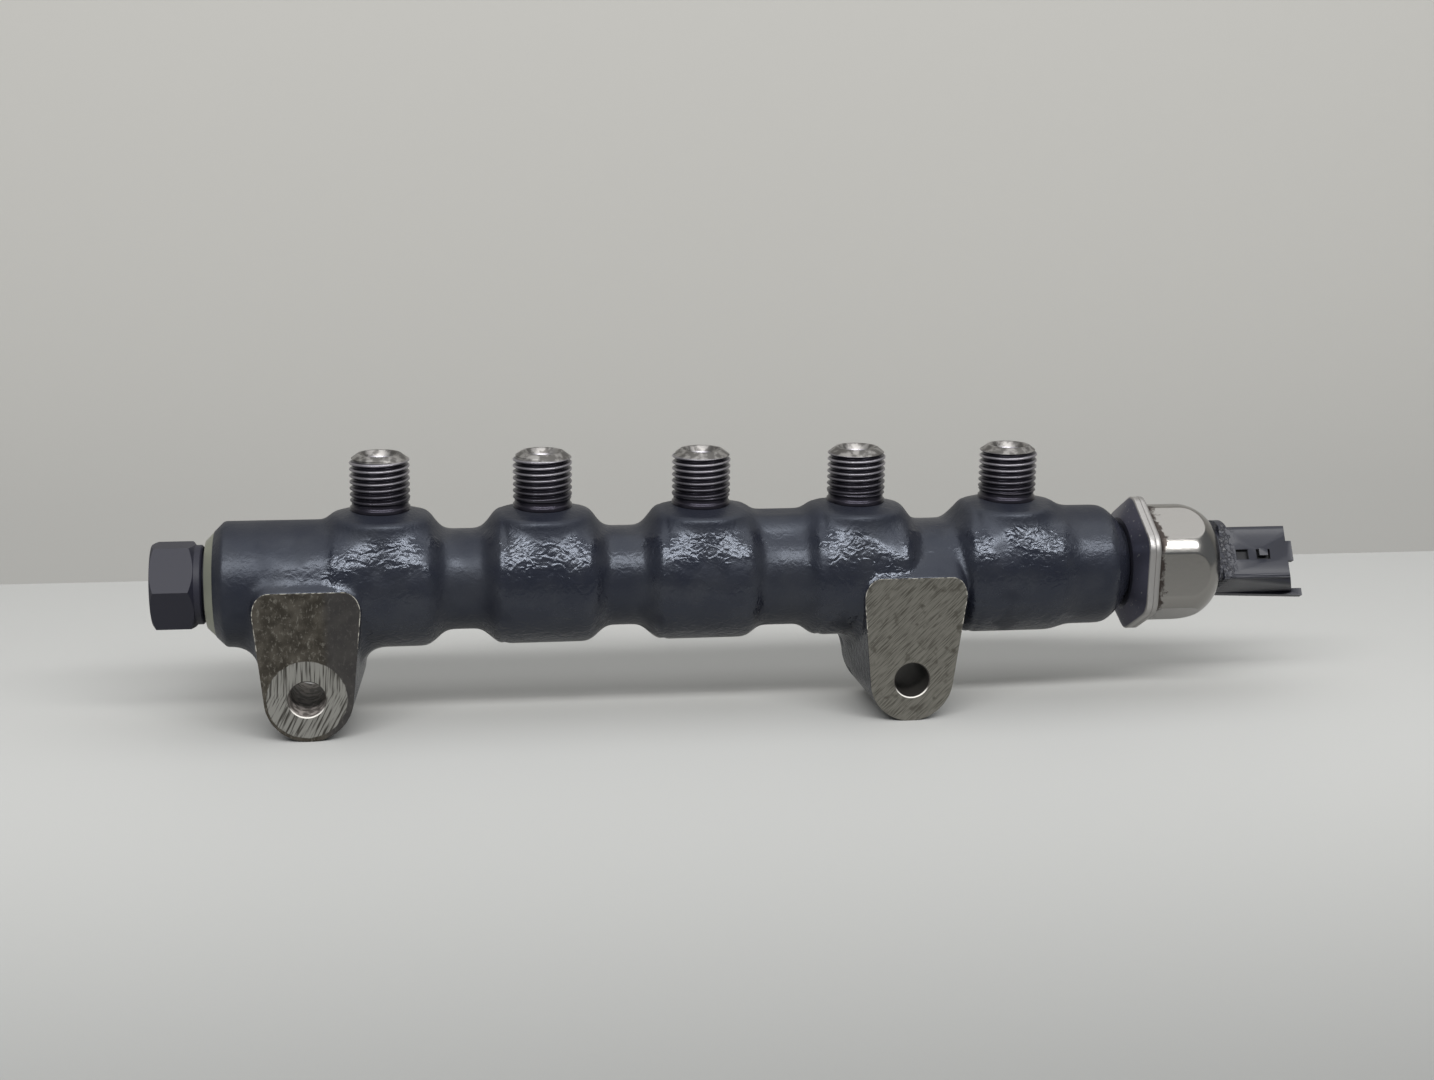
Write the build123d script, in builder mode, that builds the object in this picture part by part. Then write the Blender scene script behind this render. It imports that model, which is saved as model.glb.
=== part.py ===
"""Common-rail fuel rail with its end plug and rail-pressure sensor.

Units are millimetres.  +X runs along the rail from the plug to the sensor, +Z up along the ports
and +Y from the lugs' front faces to the back.  The origin is the middle of the line between the two
lug bolt holes, in the lugs' front faces.  Inner sizes of the sensor are counted from the rail's
right end face, along the rail.
"""
import os
from math import cos, radians, sin, sqrt, tan

from build123d import *

# ---- Datum and pitch ----
bolt_spacing = 143.2  # between the two lug bolt holes
axis_back = 16.5  # rail axis behind the lugs' front faces
axis_up = 23.75  # rail axis above the bolt holes
port_count = 5
port_pitch = 38.0
first_port_offset = 17.5  # port 1 to the right of the left bolt hole
left_overhang = 40.2  # port 1 to the left end face
right_overhang = 29.2  # last port to the right end face

# ---- Margins of the construction itself ----
cut_margin = 1.0  # how far a cutting shape reaches past what it cuts
tolerance = 0.01

# ---- Forged outside ----
neck_radius = 12.0
middle_neck_radius = 13.0  # the neck that carries the pad
middle_neck_index = 3  # counted from the left, from 1
barrel_radius = 15.75
last_barrel_radius = 16.1
end_step = 1.0  # first barrel above the plain ends of the forging
barrel_half_length = 10.9  # port axis to the sharp corner of its barrel
flank_fillet = 3.9  # at both ends of each 45 degree flank
step_fillet = 1.2  # at the small step before the first barrel
end_face_radius = 10.5
last_taper_length = 4.4  # from the last barrel down to the plain end

# ---- Gallery and end holes ----
gallery_radius = 5.0
end_hole_radius = 9.0  # M18 x 1.5
end_hole_depth = 15.0
end_hole_chamfer = 0.6
seat_angle = 60.0  # seat cone, from the rail axis

# ---- Ports ----
thread_radius = 7.0  # M14 x 1.5
spigot_top = 30.6  # this height and the next ones are above the rail axis
spigot_chamfer = 1.4
spigot_top_radius = 5.1
relief_top = 19.3
relief_bottom = 18.3
relief_radius = 6.1
boss_top = 17.5
boss_rim_height = 16.0
boss_rim_radius = 11.3
boss_draft = 8.0
cone_mouth_radius = 4.4
cone_half_angle = 30.0
port_drill_radius = 1.5
throttle_radius = 0.45
throttle_length = 2.5

# ---- Pad over the middle neck ----
pad_height = 14.8  # above the rail axis
pad_half_width = 6.0
pad_corner_radius = 3.0

# ---- Lugs ----
lug_depth = 26.0
lug_hole_radius = 4.25
lug_hole_chamfer = 0.2
lug_round_radius = 10.2  # bottom of the front outline, about the hole's axis
lug_taper = 5.7
lug_draft = 4.2  # growth of the outline towards the back
lug_face_top = 25.45  # front outline's top edge above the hole
lug_corner_radius = 4.5
lug_shoulder_depth = 8.0  # where the sloping top ends
lug_shoulder_top = 32.3
lug_back_top = 29.0
lug_shift = [0.4, 0.0]  # forging outline against the hole, left and right lug
lug_root_radii = [5.0, 3.0]  # largest root fillet under the barrel, left and right lug
root_angles = (32.0, 60.0, 90.0, 120.0, 148.0)  # sections of a root fillet, below the front
root_shares = (0.1, 0.7, 1.0, 1.0, 0.8)  # share of the largest root fillet at each section
root_fade = (3.1, 0.8, 0.0, 0.0, 0.6)  # how far the filled notch lies below the last barrel
root_bury = 4.6  # how deep a root reaches into the barrel
root_overlap = 1.0  # and into the lug
root_bite = 0.05
face_stock = 3.0  # height milled off in front of each lug

# ---- End plug ----
plug_hex_flats = 19.0
plug_hex_start = 12.3  # outer end of the hexagon, out from the left end face
plug_hex_turn = 5.0  # front corner raised
plug_hex_chamfer = 1.0
plug_inner_chamfer = 1.2  # at the collar's side
plug_corner_clearance = 0.1  # turned envelope outside the hexagon's corners
plug_collar_outer = 2.4
plug_collar_inner = 0.6
plug_collar_radius = 9.3
plug_collar_chamfer = 0.5
undercut_radius = 8.0
thread_clearance = 0.1  # plain shank against the tapped hole
seat_clearance = 0.02
shank_end = 12.5  # end of the thread inside the end hole
thread_runout = 1.0
nose_radius = 7.4
nose_tip_radius = 5.8

# ---- Sensor: pressure port ----
port_gap = 0.5  # flange underside to the rail's end face
flange_flats = 30.5
flange_corner_radius = 5.0
flange_under_radius = 11.4
flange_top = 4.6
cone_half_flat = 2.75  # where the underside cone reaches the flats
pressure_drill_radius = 1.5
collar_radius = 10.5
collar_rise = 1.0  # hidden foot of the collar, inside the flange
collar_top = 6.6
spigot_radius = 6.0
spigot_end = 9.6

# ---- Sensor: shell ----
shell_wall = 1.0
shell_flange_thickness = 1.35
shell_flats = 27.0
shell_corner_radius = 3.8
shell_hex_end = 16.3
dome_step = 0.3  # the dome's arc starts inside the hexagon's end
dome_centre_radius = 4.1  # centre of the dome's arc, from the axis
dome_radius = 10.5
mouth_radius = 9.8

# ---- Sensor: inner pieces ----
cell_radius = 4.6
cell_height = 3.8
cell_bore_radius = 2.0
diaphragm = 0.5
ring_radius = 11.6
ring_wall = 2.0
ring_top = 14.2
board_radius = 11.0
board_thickness = 1.0
board_window_radius = 1.8
board_window_offset = 2.3
chip_size = 4.0
chip_height = 1.0
chip_offset = 6.3
spring_strip = 0.2
spring_width = 1.2
spring_reach = 1.4
inner_clearance = 0.1

# ---- Sensor: connector ----
connector_turn = 30.0  # the latch face looks this far up from the front
insert_start = 18.6
insert_radius = 11.9
insert_step = 21.0
insert_cone_radius = 9.9
insert_cone_end = 23.0
neck_clearance = 0.15  # housing in the shell's mouth
base_radius = 10.2
base_start = 25.0
base_end = 27.0
base_taper_end = 29.0
box_half_width = 6.8
box_front = 7.7  # latch face, from the axis
box_back = 8.3
box_corner_radius = 1.2
mouth_front = 42.1  # where the socket's front wall ends
mouth_back = 48.5
socket_wall = 1.5
socket_floor = 32.2
tongue_half_width = 2.55
tongue_length = 1.45
tongue_root = 1.0
lip_depth = 1.9
lip_drop = 1.1
lip_end = 51.2
seal_minor_radius = 0.8
seal_station = 19.8
seal_gap = 0.4  # seal to the shell
groove_gap = 0.3
terminal_pitch = 3.4
terminal_width = 1.5
terminal_thickness = 0.64
terminal_height = -1.6  # row's centre, towards the latch face
terminal_tip = 37.5
terminal_clearance = 0.02
pocket_depth = 1.1
pocket_width = 2.6
pocket_height = -0.7
latch_pocket = (28.7, 31.9)  # from and to, along the rail
nose_pocket = (34.0, 37.6)
nose_lead = 0.7  # latch nose behind its pocket's ends
nose_drop = 0.4  # latch nose below its pocket's middle
nose_proud = 0.35

# ---- Positions that follow ----
first_port = -bolt_spacing / 2 + first_port_offset
port_x = [first_port + index * port_pitch for index in range(port_count)]
left_end = port_x[0] - left_overhang
right_end = port_x[-1] + right_overhang
bolt_x = [-bolt_spacing / 2, bolt_spacing / 2]
rail_axis = Axis((0, axis_back, axis_up), (1, 0, 0))
barrel_radii = [barrel_radius] * (port_count - 1) + [last_barrel_radius]
end_radius = barrel_radius - end_step
end_chamfer = end_radius - end_face_radius
seat_slope = tan(radians(seat_angle))


def long_section(x=0.0):
    """Upright plane through the rail axis: sketch x along the rail, sketch y is the radius."""
    return Plane(origin=(x, axis_back, axis_up), x_dir=(1, 0, 0), z_dir=(0, -1, 0))


def cross_section(x, turn=0.0):
    """Plane across the rail: sketch y points to the front, raised by the turn; sketch x points up."""
    up = (0, sin(radians(turn)), cos(radians(turn)))
    return Plane(origin=(x, axis_back, axis_up), x_dir=up, z_dir=(1, 0, 0))


def neck_after(index):
    """Radius of the neck to the right of a port, counted from 0."""
    return middle_neck_radius if index + 1 == middle_neck_index else neck_radius


def turned(points, x=0.0):
    """Solid of revolution about the rail axis from its half section."""
    with BuildPart() as piece:
        with BuildSketch(long_section(x)):
            with BuildLine():
                Polyline(*points, close=True)
            make_face()
        revolve(axis=rail_axis)
    return piece.part


# ---- Rail body: one forging, then machined ----
def forging_profile():
    """Corner points of the forging's half section, from the left end face to the right."""
    points = [(left_end, 0), (left_end, end_face_radius), (left_end + end_chamfer, end_radius)]
    points.append((port_x[0] - barrel_half_length - (barrel_radius - end_radius), end_radius))
    for index, x in enumerate(port_x):
        radius = barrel_radii[index]
        if index > 0:
            neck = neck_after(index - 1)
            points.append((x - barrel_half_length - (radius - neck), neck))
        points.append((x - barrel_half_length, radius))
        points.append((x + barrel_half_length, radius))
        if index < port_count - 1:
            neck = neck_after(index)
            points.append((x + barrel_half_length + radius - neck, neck))
    points.append((port_x[-1] + barrel_half_length + last_taper_length, end_radius))
    points.append((right_end - end_chamfer, end_radius))
    points.append((right_end, end_face_radius))
    points.append((right_end, 0))
    return points


def lug_half_width(depth, height):
    """Half width of a lug's outline, at a depth behind its face and a height above its hole."""
    growth = depth * tan(radians(lug_draft))
    radius = lug_round_radius + growth
    taper = radians(lug_taper)
    tangent_height = growth - radius * sin(taper)
    return radius * cos(taper) + (height - tangent_height) * tan(taper)


def lug_outline(x, depth, top):
    """Outline of a lug at a depth behind its face: round bottom, tapered sides, rounded top."""
    growth = depth * tan(radians(lug_draft))
    radius = lug_round_radius + growth
    foot = growth - radius * sin(radians(lug_taper))  # the round's centre rises, its bottom stays level
    foot_x = lug_half_width(depth, foot)
    top_x = lug_half_width(depth, top)
    with BuildSketch(Plane(origin=(x, depth, 0), x_dir=(1, 0, 0), z_dir=(0, -1, 0))) as outline:
        with BuildLine():
            Polyline((foot_x, foot), (top_x, top), (-top_x, top), (-foot_x, foot))
            ThreePointArc((-foot_x, foot), (0, growth - radius), (foot_x, foot))
        make_face()
        fillet(outline.vertices().group_by(Axis.Y)[-1], lug_corner_radius)
    return outline.sketch


def make_lug(x):
    """Lug with its face, a sloping shoulder that runs into the barrel, and a drafted back half."""
    with BuildPart() as lug:
        loft([lug_outline(x, 0, lug_face_top),
              lug_outline(x, lug_shoulder_depth, lug_shoulder_top),
              lug_outline(x, lug_depth, lug_back_top)], ruled=True)
    return lug.part


def root_section(x, side, angle, radius, root, run_to):
    """Root fillet's section in the half plane at an angle below the front, about the rail axis."""
    toward = Vector(0, -cos(radians(angle)), -sin(radians(angle)))
    plane = Plane(origin=(0, axis_back, axis_up), x_dir=(1, 0, 0), z_dir=Vector(1, 0, 0).cross(toward))
    crest = radius + root
    wall = lug_half_width(axis_back + crest * toward.Y, axis_up + crest * toward.Z)
    buried_x = x + side * (wall - root_overlap)
    crest_x = x + side * (wall - root_bite)
    foot_x = x + side * (wall + root)
    end_x = side * max(side * run_to, side * foot_x + root_bite)
    depth = radius - root_bury
    with BuildSketch(plane) as section:
        with BuildLine():
            Polyline((foot_x, radius), (end_x, radius), (end_x, depth), (buried_x, depth),
                     (buried_x, crest), (crest_x, crest))
            RadiusArc((crest_x, crest), (foot_x, radius), side * root)
        make_face()
    return section.sketch


def lug_root(x, side, radii, largest, run_to):
    """Forged fillet round the underside of the barrel, from small at the face to full size below."""
    with BuildPart() as root:
        loft([root_section(x, side, angle, radius, share * largest, run_to)
              for angle, share, radius in zip(root_angles, root_shares, radii)])
        split(bisect_by=Plane(origin=(0, lug_depth, 0), z_dir=(0, 1, 0)), keep=Keep.BOTTOM)
    return root.part


def boss_profile():
    """Half section of a port's boss and spigot, about the port's axis, above the rail axis."""
    wall_foot = boss_rim_radius + (boss_rim_height - neck_radius / 2) * tan(radians(boss_draft))
    return [(0, 0), (wall_foot, 0), (wall_foot, neck_radius / 2), (boss_rim_radius, boss_rim_height),
            (thread_radius, boss_top), (thread_radius, relief_bottom), (relief_radius, relief_bottom),
            (relief_radius, relief_top), (thread_radius, relief_top + thread_radius - relief_radius),
            (thread_radius, spigot_top - spigot_chamfer), (spigot_top_radius, spigot_top), (0, spigot_top)]


def port_drilling():
    """Half section of a port's sealing cone, drilling and throttle, down into the gallery."""
    cone_depth = (cone_mouth_radius - port_drill_radius) / tan(radians(cone_half_angle))
    throttle_top = gallery_radius + throttle_length
    return [(0, 0), (throttle_radius, 0), (throttle_radius, throttle_top), (port_drill_radius, throttle_top),
            (port_drill_radius, spigot_top - cone_depth), (cone_mouth_radius, spigot_top), (0, spigot_top)]


def gallery_profile():
    """Half section of the gallery bore with its two tapped end holes and seats."""
    seat_length = (end_hole_radius - gallery_radius) / seat_slope
    mouth = end_hole_radius + end_hole_chamfer
    left_seat = left_end + end_hole_depth
    right_seat = right_end - end_hole_depth
    return [(left_end, 0), (left_end, mouth), (left_end + end_hole_chamfer, end_hole_radius),
            (left_seat, end_hole_radius), (left_seat + seat_length, gallery_radius),
            (right_seat - seat_length, gallery_radius), (right_seat, end_hole_radius),
            (right_end - end_hole_chamfer, end_hole_radius), (right_end, mouth), (right_end, 0)]


lugs = [make_lug(x + shift) for x, shift in zip(bolt_x, lug_shift)]
plain_radii = [end_radius] * len(root_angles)
barrel_row = [barrel_radius] * len(root_angles)
fade_row = [last_barrel_radius - fade for fade in root_fade]
last_barrel_start = port_x[-1] - barrel_half_length + flank_fillet / 2
roots = [
    lug_root(bolt_x[0] + lug_shift[0], -1, plain_radii, lug_root_radii[0], bolt_x[0]),
    lug_root(bolt_x[0] + lug_shift[0], 1, barrel_row, lug_root_radii[0], bolt_x[0]),
    lug_root(bolt_x[1] + lug_shift[1], -1, barrel_row, lug_root_radii[1], bolt_x[1]),
    lug_root(bolt_x[1] + lug_shift[1], 1, fade_row, lug_root_radii[1], last_barrel_start),
]
face_cuts = []
for x, shift in zip(bolt_x, lug_shift):
    with BuildPart() as face_cut:
        extrude(lug_outline(x + shift, 0, lug_face_top), amount=face_stock)
    face_cuts.append(face_cut.part)

with BuildPart() as rail_body:
    with BuildSketch(long_section()) as half_section:
        with BuildLine():
            Polyline(*forging_profile(), close=True)
        make_face()
        outer = half_section.vertices().filter_by(lambda v: v.Y > end_face_radius + tolerance).sort_by(Axis.X)
        fillet(outer[1:3], step_fillet)
        outer = half_section.vertices().filter_by(lambda v: v.Y > end_face_radius + tolerance).sort_by(Axis.X)
        fillet(outer[5:-1], flank_fillet)
    revolve(axis=rail_axis)
    # Pad over the middle neck, between its two barrels
    pad_start = port_x[middle_neck_index - 1] + barrel_half_length
    pad_end = port_x[middle_neck_index] - barrel_half_length
    with BuildSketch(cross_section(pad_start)) as pad:
        with Locations((pad_height / 2, 0)):
            Rectangle(pad_height, 2 * pad_half_width)
        fillet(pad.vertices().group_by(Axis.X)[-1], pad_corner_radius)
    extrude(amount=pad_end - pad_start)
    add(lugs)
    add(roots)
    # Bosses with spigots
    for x in port_x:
        with BuildSketch(long_section(x)):
            with BuildLine():
                Polyline(*boss_profile(), close=True)
            make_face()
        revolve(axis=Axis((x, axis_back, axis_up), (0, 0, 1)))
    # Milled faces, bolt holes, gallery and port drillings
    add(face_cuts, mode=Mode.SUBTRACT)
    hole_plane = Plane(origin=(0, 0, 0), x_dir=(1, 0, 0), z_dir=(0, -1, 0))
    with BuildSketch(hole_plane):
        with Locations(*[(x, 0) for x in bolt_x]):
            Circle(lug_hole_radius)
    extrude(amount=-lug_depth, mode=Mode.SUBTRACT)
    with BuildSketch(long_section()):
        with BuildLine():
            Polyline(*gallery_profile(), close=True)
        make_face()
    revolve(axis=rail_axis, mode=Mode.SUBTRACT)
    for x in port_x:
        with BuildSketch(long_section(x)):
            with BuildLine():
                Polyline(*port_drilling(), close=True)
            make_face()
        revolve(axis=Axis((x, axis_back, axis_up), (0, 0, 1)), mode=Mode.SUBTRACT)
    rims = rail_body.edges().filter_by(GeomType.CIRCLE)
    rims = rims.filter_by(lambda e: abs(e.radius - lug_hole_radius) < tolerance)
    chamfer(rims, lug_hole_chamfer)

# ---- End plug ----
seat_depth = end_hole_depth + (end_hole_radius - nose_radius) / seat_slope - seat_clearance
tip_depth = end_hole_depth + (end_hole_radius - nose_tip_radius) / seat_slope - seat_clearance
shank_radius = end_hole_radius - thread_clearance
plug_hex_radius = plug_hex_flats / 2
plug_envelope = plug_hex_radius / cos(radians(30)) + plug_corner_clearance
with BuildPart() as end_plug:
    with BuildSketch(cross_section(left_end - plug_hex_start, plug_hex_turn)):
        RegularPolygon(plug_hex_radius, 6, major_radius=False, rotation=30)
    extrude(amount=plug_hex_start - plug_collar_outer)
    with BuildSketch(long_section(left_end)):
        with BuildLine():
            Polyline((-plug_hex_start, 0), (-plug_hex_start, plug_hex_radius),
                     (-plug_hex_start + plug_hex_chamfer, plug_envelope),
                     (-plug_collar_outer - plug_inner_chamfer, plug_envelope),
                     (-plug_collar_outer, plug_collar_radius), (-plug_collar_outer, 0), close=True)
        make_face()
    revolve(axis=rail_axis, mode=Mode.INTERSECT)
    with BuildSketch(long_section(left_end)):
        with BuildLine():
            Polyline((-plug_collar_outer, 0), (-plug_collar_outer, plug_collar_radius),
                     (-plug_collar_inner - plug_collar_chamfer, plug_collar_radius),
                     (-plug_collar_inner, plug_collar_radius - plug_collar_chamfer),
                     (-plug_collar_inner, undercut_radius), (plug_collar_inner, undercut_radius),
                     (plug_collar_inner + shank_radius - undercut_radius, shank_radius),
                     (shank_end, shank_radius), (shank_end + thread_runout, nose_radius),
                     (seat_depth, nose_radius), (tip_depth, nose_tip_radius), (tip_depth, 0), close=True)
        make_face()
    revolve(axis=rail_axis)

# ---- Sensor: pressure port ----
flange_radius = flange_flats / 2
under_slope = (flange_radius - flange_under_radius) / (cone_half_flat - port_gap)
cone_reach = flange_under_radius + under_slope * (flange_top - port_gap)
with BuildPart() as sensor_port:
    with BuildSketch(cross_section(right_end + port_gap)) as flange:
        RegularPolygon(flange_radius, 6, major_radius=False)
        fillet(flange.vertices(), flange_corner_radius)
    extrude(amount=flange_top - port_gap)
    with BuildSketch(long_section(right_end)):
        with BuildLine():
            Polyline((port_gap, 0), (port_gap, flange_under_radius), (flange_top, cone_reach),
                     (flange_top, 0), close=True)
        make_face()
    revolve(axis=rail_axis, mode=Mode.INTERSECT)
    with BuildSketch(long_section(right_end)):
        with BuildLine():
            Polyline((-tip_depth, pressure_drill_radius), (-tip_depth, nose_tip_radius),
                     (-seat_depth, nose_radius), (-shank_end - thread_runout, nose_radius),
                     (-shank_end, shank_radius),
                     (-plug_collar_inner - shank_radius + undercut_radius, shank_radius),
                     (-plug_collar_inner, undercut_radius), (port_gap, undercut_radius),
                     (port_gap + collar_rise, collar_radius), (collar_top, collar_radius),
                     (collar_top, spigot_radius), (spigot_end, spigot_radius),
                     (spigot_end, pressure_drill_radius), close=True)
        make_face()
    revolve(axis=rail_axis)
    with BuildSketch(cross_section(right_end - tip_depth)):
        Circle(pressure_drill_radius)
    extrude(amount=tip_depth + spigot_end, mode=Mode.SUBTRACT)

# ---- Sensor: measuring cell, support ring, board and chip ----
cell_top = spigot_end + cell_height
measuring_cell = turned([(spigot_end, cell_bore_radius), (spigot_end, cell_radius), (cell_top, cell_radius),
                         (cell_top, 0), (cell_top - diaphragm, 0), (cell_top - diaphragm, cell_bore_radius)],
                        right_end)
ring_inner = ring_radius - ring_wall
support_ring = turned([(collar_top, ring_inner), (collar_top, ring_radius),
                       (ring_top + board_thickness, ring_radius),
                       (ring_top + board_thickness, board_radius + inner_clearance),
                       (ring_top, board_radius + inner_clearance), (ring_top, ring_inner)], right_end)
board_top = ring_top + board_thickness
with BuildPart() as circuit_board:
    with BuildSketch(cross_section(right_end + ring_top, connector_turn)):
        Circle(board_radius)
        with Locations((0, board_window_offset)):
            Circle(board_window_radius, mode=Mode.SUBTRACT)
    extrude(amount=board_thickness)
with BuildPart() as signal_chip:
    with BuildSketch(cross_section(right_end + board_top, connector_turn)):
        with Locations((0, -chip_offset)):
            Rectangle(chip_size, chip_size)
    extrude(amount=chip_height)

# ---- Sensor: shell ----
shell_start = flange_top
shell_flange_end = shell_start + shell_flange_thickness
dome_centre = shell_hex_end - dome_step


def dome_reach(radius, wall=0.0):
    """Station at which the dome, or its inside for a wall, has come in to a radius."""
    return dome_centre + sqrt((dome_radius - wall) ** 2 - (radius - dome_centre_radius) ** 2)


def dome_solid(wall):
    """Dome of revolution that closes the hexagon, or its inside for a wall."""
    reach = dome_radius - wall
    mouth = mouth_radius - wall
    with BuildPart() as dome:
        with BuildSketch(long_section(right_end)):
            with BuildLine():
                Polyline((dome_reach(mouth, wall), mouth), (dome_reach(mouth, wall), 0), (shell_start, 0),
                         (shell_start, dome_centre_radius + reach), (dome_centre, dome_centre_radius + reach))
                RadiusArc((dome_centre, dome_centre_radius + reach), (dome_reach(mouth, wall), mouth), reach)
            make_face()
        revolve(axis=rail_axis)
    return dome.part


def hexagon_solid(flats, corner_radius, start, end):
    """Hexagonal prism about the rail axis with rounded corners, one of them on top."""
    with BuildPart() as prism:
        with BuildSketch(cross_section(right_end + start)) as outline:
            RegularPolygon(flats / 2, 6, major_radius=False)
            fillet(outline.vertices(), corner_radius)
        extrude(amount=end - start)
    return prism.part


mouth_inner = mouth_radius - shell_wall
with BuildPart() as hollow:
    add(hexagon_solid(shell_flats - 2 * shell_wall, shell_corner_radius - shell_wall,
                      shell_start, dome_reach(mouth_radius)))
    add(dome_solid(shell_wall), mode=Mode.INTERSECT)
    with BuildSketch(cross_section(right_end + insert_step)):
        Circle(mouth_inner)
    extrude(amount=base_start - insert_step)

with BuildPart() as sensor_shell:
    add(hexagon_solid(shell_flats, shell_corner_radius, shell_start, dome_reach(mouth_radius)))
    add(dome_solid(0.0), mode=Mode.INTERSECT)
    add(hexagon_solid(flange_flats, flange_corner_radius, shell_start, shell_flange_end))
    add(hollow.part, mode=Mode.SUBTRACT)

# ---- Sensor: connector housing, seal, terminals and board springs ----
terminal_rows = [(index - 1) * terminal_pitch for index in range(3)]
seal_inside = dome_centre_radius + sqrt((dome_radius - shell_wall) ** 2 - (seal_station - dome_centre) ** 2)
seal_radius = seal_inside - seal_gap - seal_minor_radius
groove_radius = seal_radius - seal_minor_radius - groove_gap
groove_half = seal_minor_radius + groove_gap
neck_end_radius = mouth_inner - neck_clearance


def latch_section(height=0.0):
    """Plane along the rail across the latch face: sketch x along the rail, sketch y towards the face."""
    turn = radians(connector_turn)
    up = Vector(0, sin(turn), cos(turn))
    return Plane(origin=Vector(right_end, axis_back, axis_up) + up * height, x_dir=(1, 0, 0), z_dir=-up)


def latch_box(start, end, low, high, back, front):
    """Block along the rail from start to end, low to high across the face, back to front."""
    with BuildPart() as block:
        with BuildSketch(cross_section(right_end + start, connector_turn)):
            with Locations(((low + high) / 2, (back + front) / 2)):
                Rectangle(high - low, front - back)
        extrude(amount=end - start)
    return block.part


def blade(row, start, end, clearance=0.0):
    """Flat terminal blade, or its slot with a clearance on each side."""
    half_width = terminal_width / 2 + clearance
    half_thickness = terminal_thickness / 2 + clearance
    return latch_box(start, end, row - half_width, row + half_width,
                     terminal_height - half_thickness, terminal_height + half_thickness)


with BuildPart() as connector_housing:
    with BuildSketch(long_section(right_end)):
        with BuildLine():
            Polyline((insert_start, 0), (insert_start, insert_radius),
                     (seal_station - groove_half, insert_radius), (seal_station - groove_half, groove_radius),
                     (seal_station + groove_half, groove_radius), (seal_station + groove_half, insert_radius),
                     (insert_step, insert_radius), (insert_cone_end, insert_cone_radius),
                     (insert_cone_end + insert_cone_radius - neck_end_radius, neck_end_radius),
                     (base_start, neck_end_radius), (base_start, base_radius), (base_end, base_radius),
                     (base_taper_end, box_half_width), (base_taper_end, 0), close=True)
        make_face()
    revolve(axis=rail_axis)
    with BuildSketch(cross_section(right_end + base_end, connector_turn)) as box_outline:
        with Locations((0, (box_front - box_back) / 2)):
            RectangleRounded(2 * box_half_width, box_front + box_back, box_corner_radius)
    extrude(amount=mouth_back - base_end)
    with BuildSketch(latch_section()):
        with BuildLine():
            Polyline((mouth_front, box_front + cut_margin), (mouth_front, box_front),
                     (mouth_back, lip_depth - box_back), (mouth_back + cut_margin, lip_depth - box_back),
                     (mouth_back + cut_margin, box_front + cut_margin), close=True)
        make_face()
    extrude(amount=box_half_width + cut_margin, both=True, mode=Mode.SUBTRACT)
    # Guide lip along the lower back corner, and the tongue in the middle of the front wall
    add(latch_box(base_start, lip_end, -box_half_width - lip_drop, -box_half_width + socket_wall / 2,
                  -box_back, lip_depth - box_back))
    add(latch_box(mouth_front - tongue_root, mouth_front + tongue_length,
                  -tongue_half_width, tongue_half_width, box_front - socket_wall, box_front))
    # Socket and terminal slots
    add(latch_box(socket_floor, lip_end, socket_wall - box_half_width, box_half_width - socket_wall,
                  socket_wall - box_back, box_front - socket_wall), mode=Mode.SUBTRACT)
    for row in terminal_rows:
        add(blade(row, insert_start, socket_floor, terminal_clearance), mode=Mode.SUBTRACT)
    # Latch recesses, with the latch nose standing in the outer one
    for start, end in (latch_pocket, nose_pocket):
        add(latch_box(start, end, pocket_height - pocket_width / 2, pocket_height + pocket_width / 2,
                      box_front - pocket_depth, box_front + pocket_depth), mode=Mode.SUBTRACT)
    add(latch_box(nose_pocket[0] + nose_lead, nose_pocket[1] - nose_lead, pocket_height - nose_drop,
                  pocket_height + pocket_width / 2, box_front - pocket_depth, box_front + nose_proud))

with BuildPart() as shell_seal:
    with BuildSketch(long_section(right_end)):
        with Locations((seal_station, seal_radius)):
            Circle(seal_minor_radius)
    revolve(axis=rail_axis)

terminals = [blade(row, insert_start, terminal_tip) for row in terminal_rows]
board_springs = []
for row in terminal_rows:
    with BuildPart() as board_spring:
        with BuildSketch(latch_section(row)):
            with BuildLine():
                foot = board_top + spring_strip / 2
                head = insert_start - spring_strip / 2
                Polyline((foot, terminal_height - spring_reach), (foot, terminal_height + spring_reach),
                         (head, terminal_height - spring_reach), (head, terminal_height + spring_reach))
            trace(line_width=spring_strip)
        extrude(amount=spring_width / 2, both=True)
    board_springs.append(board_spring.part)

# ---- Files, one for each piece ----
pieces = {
    "rail_body": rail_body.part,
    "end_plug": end_plug.part,
    "sensor_port": sensor_port.part,
    "measuring_cell": measuring_cell,
    "support_ring": support_ring,
    "circuit_board": circuit_board.part,
    "signal_chip": signal_chip.part,
    "sensor_shell": sensor_shell.part,
    "shell_seal": shell_seal.part,
    "connector_housing": connector_housing.part,
}
for index in range(3):
    pieces[f"terminal_{index + 1}"] = terminals[index]
    pieces[f"board_spring_{index + 1}"] = board_springs[index]

os.makedirs("parts", exist_ok=True)
for name, piece in pieces.items():
    piece.label = name
    export_step(piece, f"parts/{name}.step")
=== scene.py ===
# %% [markdown]
# # A forged fuel rail, piece by piece
#
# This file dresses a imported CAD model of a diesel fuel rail: a black forging with five threaded
# spigots and two bolt lugs, a hexagon plug at one end and a pressure sensor at the other.
# The CAD nodes keep their places.  Where a node needs more than its plain solid can give, such as
# the soft skin of a forging or a real screw thread, a numpy surface is made and stands for it.

# %% Load the fixed frame
from math import cos, pi, radians, sin, tan

import bmesh
import bpy
import numpy as np
from mathutils import Matrix, Vector


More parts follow.
